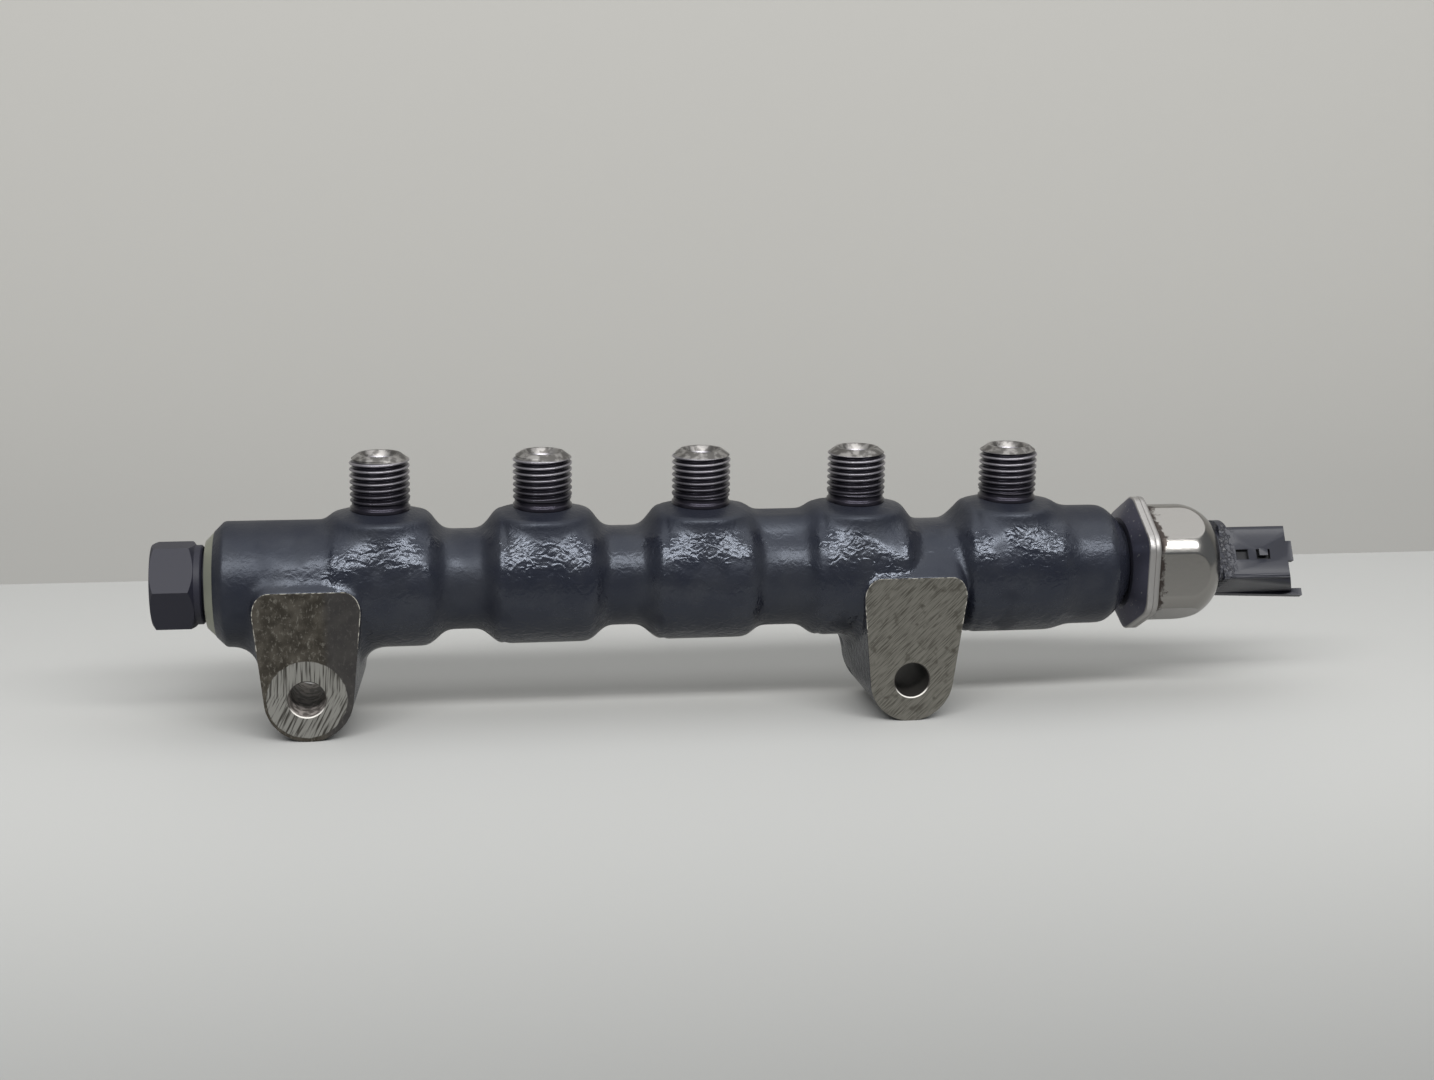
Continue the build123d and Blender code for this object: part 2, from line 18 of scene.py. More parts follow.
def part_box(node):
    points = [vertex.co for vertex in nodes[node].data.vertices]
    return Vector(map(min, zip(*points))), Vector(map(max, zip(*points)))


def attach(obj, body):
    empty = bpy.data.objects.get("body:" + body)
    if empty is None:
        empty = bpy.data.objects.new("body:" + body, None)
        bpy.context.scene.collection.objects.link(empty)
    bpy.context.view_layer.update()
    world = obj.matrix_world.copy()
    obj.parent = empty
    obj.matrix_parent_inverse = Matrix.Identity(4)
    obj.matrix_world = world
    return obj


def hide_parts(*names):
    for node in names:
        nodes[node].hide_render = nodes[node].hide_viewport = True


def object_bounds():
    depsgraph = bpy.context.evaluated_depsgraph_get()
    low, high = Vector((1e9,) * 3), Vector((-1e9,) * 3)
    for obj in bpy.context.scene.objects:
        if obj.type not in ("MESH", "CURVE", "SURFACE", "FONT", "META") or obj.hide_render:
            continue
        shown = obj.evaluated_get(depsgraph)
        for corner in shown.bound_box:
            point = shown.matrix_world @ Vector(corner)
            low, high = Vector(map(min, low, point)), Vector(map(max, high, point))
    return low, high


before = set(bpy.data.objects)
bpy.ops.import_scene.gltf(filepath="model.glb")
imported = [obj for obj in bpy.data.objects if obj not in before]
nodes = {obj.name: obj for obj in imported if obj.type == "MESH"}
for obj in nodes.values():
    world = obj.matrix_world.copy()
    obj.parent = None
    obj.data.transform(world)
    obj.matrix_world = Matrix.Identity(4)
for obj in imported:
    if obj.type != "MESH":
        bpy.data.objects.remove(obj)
cad_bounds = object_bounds()
MM = 0.001
print("CAD nodes:", len(nodes))

# %% [markdown]
# ## Sizes
#
# The frame's origin is midway between the two bolt holes, in the lugs' milled faces.  X runs along
# the rail, Y to the back and Z up.  All sizes below are millimetres, as on a drawing, and are
# turned into metres only when a mesh is stored.  The rail's two end faces are read from the frame.

# %% Sizes of the rail, in millimetres
axis_y, axis_z = 16.5, 23.75  # the rail's own axis
bolt_spacing = 143.2
port_pitch = 38.0
first_port = -bolt_spacing / 2 + 17.5
port_x = [first_port + port_pitch * index for index in range(5)]
bolt_x = [-bolt_spacing / 2, bolt_spacing / 2]
left_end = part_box("rail_body")[0].x / MM
right_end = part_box("rail_body")[1].x / MM
print("ports at", port_x, "ends", round(left_end, 2), round(right_end, 2))

# %% [markdown]
# ## From numbers to meshes
#
# Every new piece here is a surface computed as whole numpy arrays.  One helper stores any list of
# points and faces as a Blender mesh.  Another numbers the quads of a grid of points whose rows are
# closed rings, and a third sweeps a drawn profile round an axis, as a lathe does.

# %% Mesh helpers
def make_object(name, points, faces, caps=(), smooth=True):
    """Mesh object from points in millimetres, an array of faces, and caps with many corners."""
    mesh = bpy.data.meshes.new(name)
    faces = np.asarray(faces).tolist() + [cap.tolist() for cap in caps]
    mesh.from_pydata((np.asarray(points) * MM).tolist(), [], faces)
    mesh.update()
    mesh.polygons.foreach_set("use_smooth", np.full(len(mesh.polygons), smooth))
    piece = bpy.data.objects.new(name, mesh)
    bpy.context.scene.collection.objects.link(piece)
    return piece


def grid_quads(rows, columns, close_rows=False):
    """Quads of a grid whose point (row, column) has the index row * columns + column.

    Each row is a closed ring.  With close_rows the last row joins the first one too.
    """
    row, column = np.arange(rows if close_rows else rows - 1), np.arange(columns)
    r, c = np.meshgrid(row, column, indexing="ij")
    r2, c2 = (r + 1) % rows, (c + 1) % columns
    corners = [r * columns + c, r * columns + c2, r2 * columns + c2, r2 * columns + c]
    return np.stack(corners, -1).reshape(-1, 4)


def turned_object(name, profile, steps, place):
    """Solid of revolution with a flat cap at each end and its faces outwards.

    A profile point (along, radius) becomes the ring (along, radius * cos, radius * sin), which
    place puts into the frame.  A profile that runs the wrong way is turned round first.
    """
    profile = np.asarray(profile, float)
    if (np.diff(profile[:, 0]) * (profile[1:, 1] + profile[:-1, 1])).sum() < 0:
        profile = profile[::-1]
    ring = np.arange(steps)
    angle = ring * 2 * pi / steps
    along, radius = np.repeat(profile[:, :1], steps, 1), profile[:, 1:]
    points = place(along, radius * np.cos(angle), radius * np.sin(angle)).reshape(-1, 3)
    caps = (ring[::-1], ring + (len(profile) - 1) * steps)
    return make_object(name, points, grid_quads(len(profile), steps), caps, smooth=False)


def along_rail(x=0.0):
    """Place for a turned piece whose axis is the rail's, counted from station x."""
    return lambda a, u, v: np.stack([x + a, axis_y + u, axis_z + v], -1)


def through_lug(x):
    """Place for a turned piece whose axis is a bolt hole's, counted back from the milled face."""
    return lambda a, u, v: np.stack([x + v, a, u], -1)


# %% [markdown]
# ## The forging as a field
#
# A hot forging has no sharp inside corner: every boss and lug flows into the barrel.  Modelling
# that with polygons means fillet after fillet.  It is easier to describe the solid by a field, a
# number for each point of space that is negative inside and grows outwards, and to blend two such
# fields softly where they meet.  The skin of the forging is then where the field is zero.

# %% Blending fields
def soft_union(a, b, width):
    """Smaller of two fields, rounded off within width of where they are equal."""
    closeness = np.maximum(width - np.abs(a - b), 0) / width
    return np.minimum(a, b) - closeness**2 * width / 4


def round_corner(a, b, radius):
    """Larger of two fields, with their common edge rounded to a radius."""
    outside = np.hypot(np.maximum(a + radius, 0), np.maximum(b + radius, 0))
    return np.minimum(np.maximum(a, b), -radius) + outside


def ease(low, high, value):
    """0 below low, 1 above high and a smooth S between."""
    t = np.clip((value - low) / (high - low), 0, 1)
    return t * t * (3 - 2 * t)


# %% [markdown]
# The barrel swells round each port and is drawn in to a neck between two ports.  Its outline is a
# short list of corners with 45 degree flanks.  The forging die has worn corners, so the radius at a
# station is a mean over its neighbours, weighted by a bell curve.  Narrow bell-shaped dips are the
# faint lines that the die left.

# %% Barrel: the radius along the rail
neck_radii = [12.0, 12.0, 13.0, 12.0]  # between two ports, from the left
barrel_radii = [15.75, 15.75, 15.75, 15.75, 16.1]
end_radius, end_face_radius = 14.75, 10.5
barrel_half = 10.9  # port axis to its barrel's corner
last_flank = 4.4  # length of the long flank beside the sensor
run_out = 3  # the outline goes on this far past each end face
flank_rounding = 1.2  # spread of the bell curve
left_sharpness = 0.25  # share of that spread at the left end
sharp_until, round_from = 6, 12  # where the share starts to grow and is whole, from the left end
groove_depth, groove_offset, groove_width = 0.28, 9.3, 0.6  # die line on each barrel but the first

bevel = end_radius - end_face_radius
outline = [(left_end - run_out, end_face_radius - run_out), (left_end + bevel, end_radius)]
sides = zip(port_x, barrel_radii, [end_radius] + neck_radii, neck_radii + [end_radius])
for port, radius, left_radius, right_radius in sides:
    outline += [(port - barrel_half - radius + left_radius, left_radius),
                (port - barrel_half, radius), (port + barrel_half, radius),
                (port + barrel_half + radius - right_radius, right_radius)]
outline[-1] = (port_x[-1] + barrel_half + last_flank, end_radius)
outline += [(right_end - bevel, end_radius), (right_end + run_out, end_face_radius - run_out)]
outline_x, outline_radius = np.array(outline).T


def barrel_radius_at(x):
    """Radius at stations x: a mean over the outline, weighted by a bell curve, less the grooves."""
    x = np.asarray(x, float)
    whole = ease(left_end + sharp_until, left_end + round_from, x)
    spread = flank_rounding * (left_sharpness + (1 - left_sharpness) * whole)
    offsets = np.linspace(-3, 3, 25)  # in spreads
    weights = np.exp(-(offsets**2) / 2)
    nearby = np.interp(x[..., None] + offsets * spread[..., None], outline_x, outline_radius)
    radius = (nearby * weights).sum(-1) / weights.sum()
    for port in port_x[1:]:
        bell = np.exp(-(((x - port + groove_offset) / groove_width) ** 2))
        radius = radius - groove_depth * bell
    return radius


print("radius at the first port:", barrel_radius_at(port_x[0]).round(2))

# %% [markdown]
# Each lug is a round foot with two tapered sides.  It grows towards the back, by the draft that
# lets a forging leave its die.  Its top slopes up from the milled face to a shoulder and then runs
# gently down.  The two lugs are not quite alike, so some sizes are lists, left lug first.

# %% Lugs: a tapered outline that grows to the back
lug_round = 10.2
lug_left_taper, lug_right_taper = radians(5.7), [radians(5.7), radians(7.2)]
lug_draft = [tan(radians(6.0)), tan(radians(4.2))]
lug_shift = [0.4, 0.0]  # the outline's middle is this far right of its hole
lug_face_top, lug_slope = 25.45, 0.856
lug_shoulder_y, lug_shoulder_top, lug_back_slope = 8, 32.3, -0.183
lug_depth = 26.0
lug_corner, lug_shoulder_round, lug_back_round = 4.5, 5.0, 0.8


def lug_field(x, y, z, hole_x, draft, right_taper):
    """Distance to a lug: round foot and tapered sides, cut by a sloping top and a flat back."""
    growth = y * draft
    side_x, height = np.abs(x - hole_x), z - growth
    taper = np.where(x > hole_x, right_taper, lug_left_taper)
    along = side_x * np.sin(taper) + height * np.cos(taper)
    side = side_x * np.cos(taper) - height * np.sin(taper) - lug_round - growth
    foot = np.hypot(side_x, height) - lug_round - growth
    outline = np.where(along > 0, side, foot)
    slope = (z - lug_face_top - y * lug_slope) / np.hypot(1, lug_slope)
    back_slope = z - lug_shoulder_top - (y - lug_shoulder_y) * lug_back_slope
    top = -soft_union(-slope, -back_slope, lug_shoulder_round)
    return round_corner(round_corner(outline, top, lug_corner), y - lug_depth, lug_back_round)


print("lugs", 2 * lug_round, "mm wide in front and", lug_depth, "mm deep")

# %% [markdown]
# A drafted boss carries each spigot, and a flat-topped pad joins two barrels over the thicker neck.
# Both stand inside the barrel at their feet, where the blend with the barrel hides them.

# %% Bosses under the ports, and the pad over the thicker neck
boss_rim_radius, boss_rim_height, boss_draft = 11.3, 16.0, tan(radians(8))
boss_top, boss_top_radius, boss_round, boss_fillet = 17.15, 7.0, 0.7, 3.2
boss_rim_drop = 0.3  # the top's cone ends this far below the rim
pad_height, pad_half_width, pad_corner, pad_fillet = 14.8, 6.0, 3.0, 3.4
pad_overlap = 1  # the pad goes this far into each barrel
stand_from = 4  # bosses and pad start this far above the axis


def boss_field(x, y, z, port):
    """Distance to a drafted round boss that stands on the barrel, with a low cone for its top."""
    height, radius = z - axis_z, np.hypot(x - port, y - axis_y)
    wall = radius - boss_rim_radius - (boss_rim_height - height) * boss_draft
    slope = (boss_top - boss_rim_height + boss_rim_drop) / (boss_rim_radius - boss_top_radius)
    top = (height - boss_top + (radius - boss_top_radius) * slope) / np.hypot(1, slope)
    return np.maximum(round_corner(wall, top, boss_round), stand_from - height)


def pad_field(x, y, z):
    """Distance to the flat-topped ridge that joins the two barrels beside the thicker neck."""
    side = np.abs(y - axis_y) - pad_half_width
    height = z - axis_z - pad_height
    middle = (port_x[2] + port_x[3]) / 2
    length = np.abs(x - middle) - (port_pitch / 2 - barrel_half + pad_overlap)
    ends = np.maximum(length, stand_from + axis_z - z)
    return np.maximum(round_corner(side, height, pad_corner), ends)


print("bosses up to", axis_z + boss_top, "mm and pad up to", axis_z + pad_height)

# %% The whole forging before machining
lug_fillet = [5.9, 3.6]
lug_back_fillet = [3.0, 6.0]  # how much more the fillet grows towards the back
front_fillet = 1.0
fillet_from, fillet_whole, fillet_back = 1.5, 11.0, 24.0  # depths at which the fillet changes
face_stock, end_stock = 1.6, 2  # metal left in front of the milled faces and at the ends


def forging_field(x, y, z):
    """Barrel, pad and bosses, with both lugs flowed in and stock left for machining."""
    field = np.hypot(y - axis_y, z - axis_z) - barrel_radius_at(x)
    field = soft_union(field, pad_field(x, y, z), pad_fillet)
    for port in port_x:
        field = soft_union(field, boss_field(x, y, z, port), boss_fillet)
    lugs = zip(bolt_x, lug_shift, lug_draft, lug_right_taper, lug_fillet, lug_back_fillet)
    for hole_x, shift, draft, right_taper, fillet, more in lugs:
        width = front_fillet + (fillet - front_fillet) * ease(fillet_from, fillet_whole, y)
        width = width + more * ease(fillet_whole, fillet_back, y)
        field = soft_union(field, lug_field(x, y, z, hole_x + shift, draft, right_taper), width)
    field = np.maximum(field, -face_stock - y)
    return np.maximum(field, np.maximum(left_end - end_stock - x, x - right_end - end_stock))


on_axis = forging_field(np.array([0.0]), axis_y, axis_z)
print("field in the middle of the rail:", on_axis.round(2))

# %% [markdown]
# ## From a field to a skin
#
# Surface nets is the simplest way to find the zero of a field.  The space is cut into small
# cubes.  Each cube whose corners lie on both sides gets one point, the mean of where the field
# crosses its edges, and each crossed edge joins the points of the four cubes round it with a quad.
# Two Newton steps then pull the points exactly onto the skin, so that highlights run smoothly.

# %% Surface nets
def surface_net(field, low, high, step):
    """Points and quads of the zero surface of field inside a box, found on cubes of size step."""
    axes = [np.arange(a, b + step, step) for a, b in zip(low, high)]
    grid = np.meshgrid(*axes, indexing="ij")
    values = field(*grid)
    inside = values < 0
    shape = tuple(n - 1 for n in values.shape)
    total = np.zeros(shape + (3,))
    count = np.zeros(shape)
    corners = [(i, j, k) for i in (0, 1) for j in (0, 1) for k in (0, 1)]

    def corner(array, c):
        """The array's values at corner c of every cube."""
        return array[c[0]:c[0] + shape[0], c[1]:c[1] + shape[1], c[2]:c[2] + shape[2]]

    for a in corners:
        for axis in range(3):
            if a[axis]:
                continue
            b = tuple(v + (n == axis) for n, v in enumerate(a))
            va, vb = corner(values, a), corner(values, b)
            crossed = corner(inside, a) != corner(inside, b)
            t = np.where(crossed, va / np.where(crossed, va - vb, 1), 0)
            for n in range(3):
                total[..., n] += np.where(crossed, a[n] + (t if n == axis else 0), 0)
            count += crossed
    active = count > 0
    number = np.full(shape, -1)
    number[active] = np.arange(active.sum())
    cell = np.argwhere(active)
    points = (cell + total[active] / count[active][:, None]) * step + np.array([a[0] for a in axes])
    quads = []
    for axis in range(3):
        u, v = (axis + 1) % 3, (axis + 2) % 3
        layer = np.arange(inside.shape[axis]).reshape([-1 if n == axis else 1 for n in range(3)])
        changes = inside != np.roll(inside, -1, axis)
        crossed = np.argwhere(changes & (layer < inside.shape[axis] - 1))
        around = []
        for du, dv in ((1, 1), (0, 1), (0, 0), (1, 0)):
            c = crossed.copy()
            c[:, u] -= du
            c[:, v] -= dv
            around.append(number[tuple(c.T)])
        quad = np.stack(around, -1)
        outward = inside[tuple(crossed.T)]
        quads.append(np.where(outward[:, None], quad, quad[:, ::-1]))
    return points, np.concatenate(quads)


def pull_to_surface(points, field, rounds=2, reach=0.05, least_slope=0.2, longest_step=0.3):
    """Newton steps, value / slope each, along the field's slope, found from differences."""
    for _ in range(rounds):
        x, y, z = points.T
        value = field(x, y, z)
        ahead = [field(x + reach, y, z), field(x, y + reach, z), field(x, y, z + reach)]
        slope = (np.stack(ahead, -1) - value[:, None]) / reach
        square = np.maximum((slope**2).sum(-1, keepdims=True), least_slope)
        points = points - np.clip(value[:, None] * slope / square, -longest_step, longest_step)
    return points


# %% Make the forging's skin
cell = 0.64
box_low = (left_end - 4, -3.0, -12.0)  # the box has room all round for the net to close
box_high = (right_end + 4, axis_y + 18, axis_z + 20)
skin_points, skin_quads = surface_net(forging_field, box_low, box_high, cell)
skin_points = pull_to_surface(skin_points, forging_field)
forging = make_object("forging", skin_points, skin_quads)
print("forging quads:", len(skin_quads))

# %% [markdown]
# ## Machining the forging
#
# A real rail is forged first and machined second, and the model follows that order.  Each cut is a
# plain tool shape taken away from the skin, so the cut edges come out crisp while the rest stays
# soft.  Each tool carries the material of the surface that it leaves behind.

# %% Machining helpers
def new_finishes(*names):
    """An empty material for each name, filled in further below."""
    return [bpy.data.materials.new(name) for name in names]


def machine(piece, tool, material):
    """Take tool away from piece and give the cut faces a material."""
    tool.data.materials.append(material)
    cut = piece.modifiers.new("cut", "BOOLEAN")
    cut.operation, cut.solver, cut.object = "DIFFERENCE", "EXACT", tool
    cut.material_mode = "TRANSFER"
    with bpy.context.temp_override(object=piece, active_object=piece, selected_objects=[piece]):
        bpy.ops.object.modifier_apply(modifier="cut")
    bpy.data.objects.remove(tool)


def block(name, low, high):
    """Plain block between two corners."""
    x, y, z = zip(low, high)
    points = [(a, b, c) for a in x for b in y for c in z]
    faces = [(0, 1, 3, 2), (4, 6, 7, 5), (0, 4, 5, 1), (2, 3, 7, 6), (0, 2, 6, 4), (1, 5, 7, 3)]
    return make_object(name, points, faces, smooth=False)


# %% Mill the lugs and drill the bolt holes
forged_skin, milled_steel = new_finishes("forged_skin", "milled_steel")
turned_steel, bore_steel = new_finishes("turned_steel", "bore_steel")
edge_highlight, bolt_bore = new_finishes("edge_highlight", "bolt_bore")
forging.data.materials.append(forged_skin)
machine(forging, block("face_mill", (-95, -8, -15), (95, 0, 34)), milled_steel)
hole_radius, hole_chamfer = 4.25, 0.25
overshoot = 1  # each drill starts and ends this far outside the metal
wide = hole_radius + hole_chamfer + overshoot
drill = [(-overshoot, wide), (hole_chamfer, hole_radius),
         (lug_depth - hole_chamfer, hole_radius), (lug_depth + overshoot, wide)]
for hole_x in bolt_x:
    machine(forging, turned_object("drill", drill, 64, through_lug(hole_x)), bolt_bore)
print("faces after milling:", len(forging.data.polygons))

# %% Turn the end faces and drill the gallery
turned_step = 0.15  # the turned ring lies this much below the forged chamfer
face_radius = end_face_radius - turned_step
core, outside, stroke = 2, 25, 5  # the facing tool's core and outer radius, and its length
for end, out, ring, finish in ((left_end, -1, 2.0, turned_steel), (right_end, 1, 0.8, forged_skin)):
    waste = [(0, core), (0, face_radius), (-out * ring, face_radius + ring),
             (-out * ring, outside), (out * stroke, outside), (out * stroke, core)]
    machine(forging, turned_object("facing_tool", waste, 128, along_rail(end)), finish)
gallery_radius, end_hole_radius, end_hole_depth, mouth = 5.0, 9.0, 15.0, 0.6
seat = end_hole_depth + (end_hole_radius - gallery_radius) * tan(radians(30))
half = [(-overshoot, end_hole_radius + mouth + overshoot), (mouth, end_hole_radius),
        (end_hole_depth, end_hole_radius), (seat, gallery_radius)]
gallery = [(left_end + depth, radius) for depth, radius in half]
gallery += [(right_end - depth, radius) for depth, radius in half[::-1]]
machine(forging, turned_object("gallery_drill", gallery, 96, along_rail()), bore_steel)
print("faces after drilling:", len(forging.data.polygons))

# %% [markdown]
# A milling cutter leaves a thin burred edge of bare steel where its face meets the black skin, and
# that edge catches the light.  The milled faces are inset by the edge's width, and the new rim
# takes a bright colour, a painted highlight on the bare steel.  Low on the lugs, below line_bottom,
# no highlight is painted.

# %% Painted highlight round the milled faces
line_width, line_bottom = 0.17, 12
forging.data.materials.append(edge_highlight)
names = [material.name for material in forging.data.materials]
work = bmesh.new()
work.from_mesh(forging.data)
milled_faces = [face for face in work.faces if face.material_index == names.index("milled_steel")]
inset = bmesh.ops.inset_region(
    work, faces=milled_faces, thickness=line_width * MM, use_even_offset=True)
# the rim's faces high on the lugs get the painted highlight colour
for face in inset["faces"]:
    if face.calc_center_median().z > line_bottom * MM:
        face.material_index = names.index("edge_highlight")
print("faces in the bright line:", len(inset["faces"]))
work.to_mesh(forging.data)
work.free()
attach(forging, "root")
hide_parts("rail_body")
print("forging faces after machining:", len(forging.data.polygons))

# %% [markdown]
# ## Threaded spigots
#
# A screw thread is a radius that depends on height and angle together: going once round, the
# pattern climbs by one pitch.  So each spigot is one grid of points, rows by height and columns by
# angle, with radius = crest radius - depth * wave(height / pitch - angle / full turn).  The wave
# has narrow flat crests, sloping flanks and a rounded root.  The top chamfer and the relief under
# the thread simply limit the radius.

# %% One spigot: outside with a true helix, then the seat cone and the drilling
thread_radius, thread_pitch, thread_depth = 7.0, 1.5, 0.8
spigot_top, relief_top, relief_bottom, relief_radius = 30.6, 19.3, 18.3, 6.6
relief_rise, fade_height = 1.2, 1.2  # slope out of the relief; height to the full depth
top_ring_radius, top_chamfer = 5.1, 1.4
cone_mouth, cone_half_angle, port_drill = 4.4, radians(30), 1.5
drill_end, drill_point = 6, 6.2  # depths of the drilling below the cone
foot_sink, foot_chamfer, mouth_chamfer = 0.6, 0.25, 0.15
spigot_columns = 96


def thread_wave(phase):
    """Depth of the groove below the crest, 0 to 1, for a phase in pitches.

    Across the flank it falls by 0.35 parts of an S and 0.65 parts of a straight line.
    """
    distance = np.abs(phase - np.round(phase)) * 2  # 0 in the groove's middle, 1 on the crest
    return 1 - ease(0.08, 0.86, distance) * 0.35 - 0.65 * np.clip((distance - 0.1) / 0.76, 0, 1)


def spigot_surface(x, start_angle):
    """Points and quads of a spigot on the port at x, and how deep in the groove each point is.

    The radius is the least of the threaded, the chamfered and the relieved one.
    """
    columns, rows = spigot_columns, 118
    height = np.linspace(relief_top, spigot_top, rows)
    angle = np.arange(columns) * 2 * pi / columns
    h, a = np.meshgrid(height, angle, indexing="ij")
    wave = thread_wave(h / thread_pitch - (a + start_angle) / (2 * pi))
    fade = ease(relief_top, relief_top + fade_height, h)
    radius = thread_radius - thread_depth * wave * fade
    chamfer = top_ring_radius + (spigot_top - h) * (thread_radius - top_ring_radius) / top_chamfer
    radius = np.minimum(radius, np.minimum(chamfer, relief_radius + (h - relief_top) * relief_rise))
    drill_top = spigot_top - (cone_mouth - port_drill) / tan(cone_half_angle)
    below = [(boss_top - foot_sink, thread_radius), (relief_bottom - foot_chamfer, thread_radius),
             (relief_bottom, thread_radius - foot_chamfer), (relief_bottom + 0.1, relief_radius)]
    inside = [(spigot_top, cone_mouth + mouth_chamfer), (spigot_top - mouth_chamfer, cone_mouth),
              (drill_top, port_drill), (drill_top - drill_end, port_drill),
              (drill_top - drill_point, 0.2)]
    before = np.array(below)[:, :, None] * np.ones(columns)
    after = np.array(inside)[:, :, None] * np.ones(columns)
    depth = (thread_radius - radius) / thread_depth * (radius < chamfer)
    depth = np.concatenate([before[:, 0] * 0 + 1, depth, after[:, 0] * 0])
    h = np.concatenate([before[:, 0], h, after[:, 0]])
    radius = np.concatenate([before[:, 1], radius, after[:, 1]])
    a = np.ones(len(h))[:, None] * angle
    points = np.stack([x + radius * np.cos(a), axis_y + radius * np.sin(a), axis_z + h], -1)
    return points.reshape(-1, 3), grid_quads(len(h), columns), depth.ravel()


# %% Five spigots, each with its thread starting at another angle
[thread_steel] = new_finishes("thread_steel")
start_turn = 0.9  # radians from one spigot's start to the next
ring = np.arange(spigot_columns)
for index, x in enumerate(port_x):
    points, quads, groove = spigot_surface(x, start_turn * index)
    caps = (ring[::-1], ring + len(points) - spigot_columns)
    spigot = make_object(f"spigot_{index + 1}", points, quads, caps)
    spigot.data.materials.append(thread_steel)
    stored = spigot.data.attributes.new("groove", "FLOAT", "POINT")
    stored.data.foreach_set("value", groove.astype(np.float32))
    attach(spigot, "root")
print("spigot quads each:", len(quads))

# %% [markdown]
# ## Softer edges on the turned and moulded pieces
#
# The end plug, the sensor and the connector are right as the CAD gives them, but real edges are
# never perfectly sharp.  A copy of each node is merged, its flat faces are dissolved back into
# whole faces, and a small bevel breaks the edges, so that they catch the light.

# %% Bevelled copies of CAD nodes
def soft_copy(node, name, bevel, material):
    """Copy of a CAD node with its edges bevelled, in millimetres; it stands for the node."""
    mesh = nodes[node].data.copy()
    mesh.name = name
    mesh.materials.clear()
    mesh.materials.append(material)
    work = bmesh.new()
    work.from_mesh(mesh)
    bmesh.ops.remove_doubles(work, verts=work.verts, dist=1e-6)
    bmesh.ops.dissolve_limit(work, angle_limit=radians(0.5), verts=work.verts, edges=work.edges)
    work.to_mesh(mesh)
    work.free()
    mesh.polygons.foreach_set("use_smooth", np.ones(len(mesh.polygons), bool))
    piece = bpy.data.objects.new(name, mesh)
    bpy.context.scene.collection.objects.link(piece)
    broken = piece.modifiers.new("edges", "BEVEL")
    broken.width, broken.segments, broken.limit_method = bevel * MM, 2, "ANGLE"
    broken.angle_limit, broken.harden_normals = radians(25), True
    piece.modifiers.new("flat_faces", "WEIGHTED_NORMAL").keep_sharp = True
    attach(piece, "root")
    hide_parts(node)
    return piece


plug_finish, port_finish = new_finishes("plug_finish", "port_finish")
shell_finish, plastic_finish = new_finishes("shell_finish", "plastic_finish")
soft_copy("end_plug", "plug", 0.3, plug_finish)
sensor_base = soft_copy("sensor_port", "sensor_base", 0.25, port_finish)
connector = soft_copy("connector_housing", "connector", 0.3, plastic_finish)
print("faces of the connector's copy:", len(connector.data.polygons))

# %% [markdown]
# The connector's round base is flattened under its two visible faces.  A point's distance out
# towards the latch is -across * cos(30) + upward * sin(30), because the latch looks 30 degrees up
# from the front, and the point is moved in until that distance is no more than the face's.  The
# small pockets in the latch's face get a darker finish, because little light reaches them.

# %% Read and store the points of a mesh
def read_points(items, name="co"):
    """A point for each vertex, or with name center for each face, as an array in millimetres."""
    values = np.empty(len(items) * 3, np.float32)
    items.foreach_get(name, values)
    return values.reshape(-1, 3) / MM


def store_points(mesh, points):
    """Put an array of points in millimetres back into the vertices of a mesh."""
    mesh.vertices.foreach_set("co", (points * MM).astype(np.float32).ravel())
    mesh.update()


# %% Flatten the connector's base and darken its pockets
latch_turn, latch_face, side_face = radians(30), 7.7, 6.8
base_from, base_to = 22.9, 29.5  # stations from the rail's right end
pocket_from, pocket_to = 28.5, 38
pocket_floor, pocket_lip = 1.3, 0.1  # depths below the latch's face
pocket_middle, pocket_half = 0.7, 1.45  # place and half width across the face
[pocket_shade] = new_finishes("pocket_shade")
connector.data.materials.append(pocket_shade)
latch_way = np.array([0, -cos(latch_turn), sin(latch_turn)])
side_way = np.array([0, -sin(latch_turn), -cos(latch_turn)])
rail_axis = np.array([right_end, axis_y, axis_z])
points = read_points(connector.data.vertices)
on_base = (points[:, 0] > right_end + base_from) & (points[:, 0] < right_end + base_to)
for way, limit in ((latch_way, latch_face), (side_way, side_face)):
    beyond = np.maximum((points - rail_axis) @ way - limit, 0) * on_base
    points = points - beyond[:, None] * way
store_points(connector.data, points)
middles = read_points(connector.data.polygons, "center") - rail_axis
out, sideways = middles @ latch_way, middles @ side_way
pocket = (out > latch_face - pocket_floor) & (out < latch_face - pocket_lip)
pocket &= np.abs(sideways - pocket_middle) < pocket_half
pocket &= (middles[:, 0] > pocket_from) & (middles[:, 0] < pocket_to)
connector.data.polygons.foreach_set("material_index", pocket.astype(np.int32))
print("points moved on the base:", on_base.sum(), "faces in the pockets:", pocket.sum())

# %% [markdown]
# The sensor's flange is a hexagon with rounded corners, and its underside is a cone.  A plain cone
# would thin the rim at the corners.  Each point of the underside is therefore moved along the rail
# to 0.5 + 2.75 (r - 11.4) / (R - 11.4), where R is the hexagon's own radius in that direction.

# %% Even out the flange's rim
flange_half, flange_corner = 15.25, 5.0
under_radius, under_start, under_rise = 11.4, 0.5, 2.75
flange_face = 4.3  # the underside's points all lie before this station
hair = 0.01  # slack that keeps the cone's first ring where it is


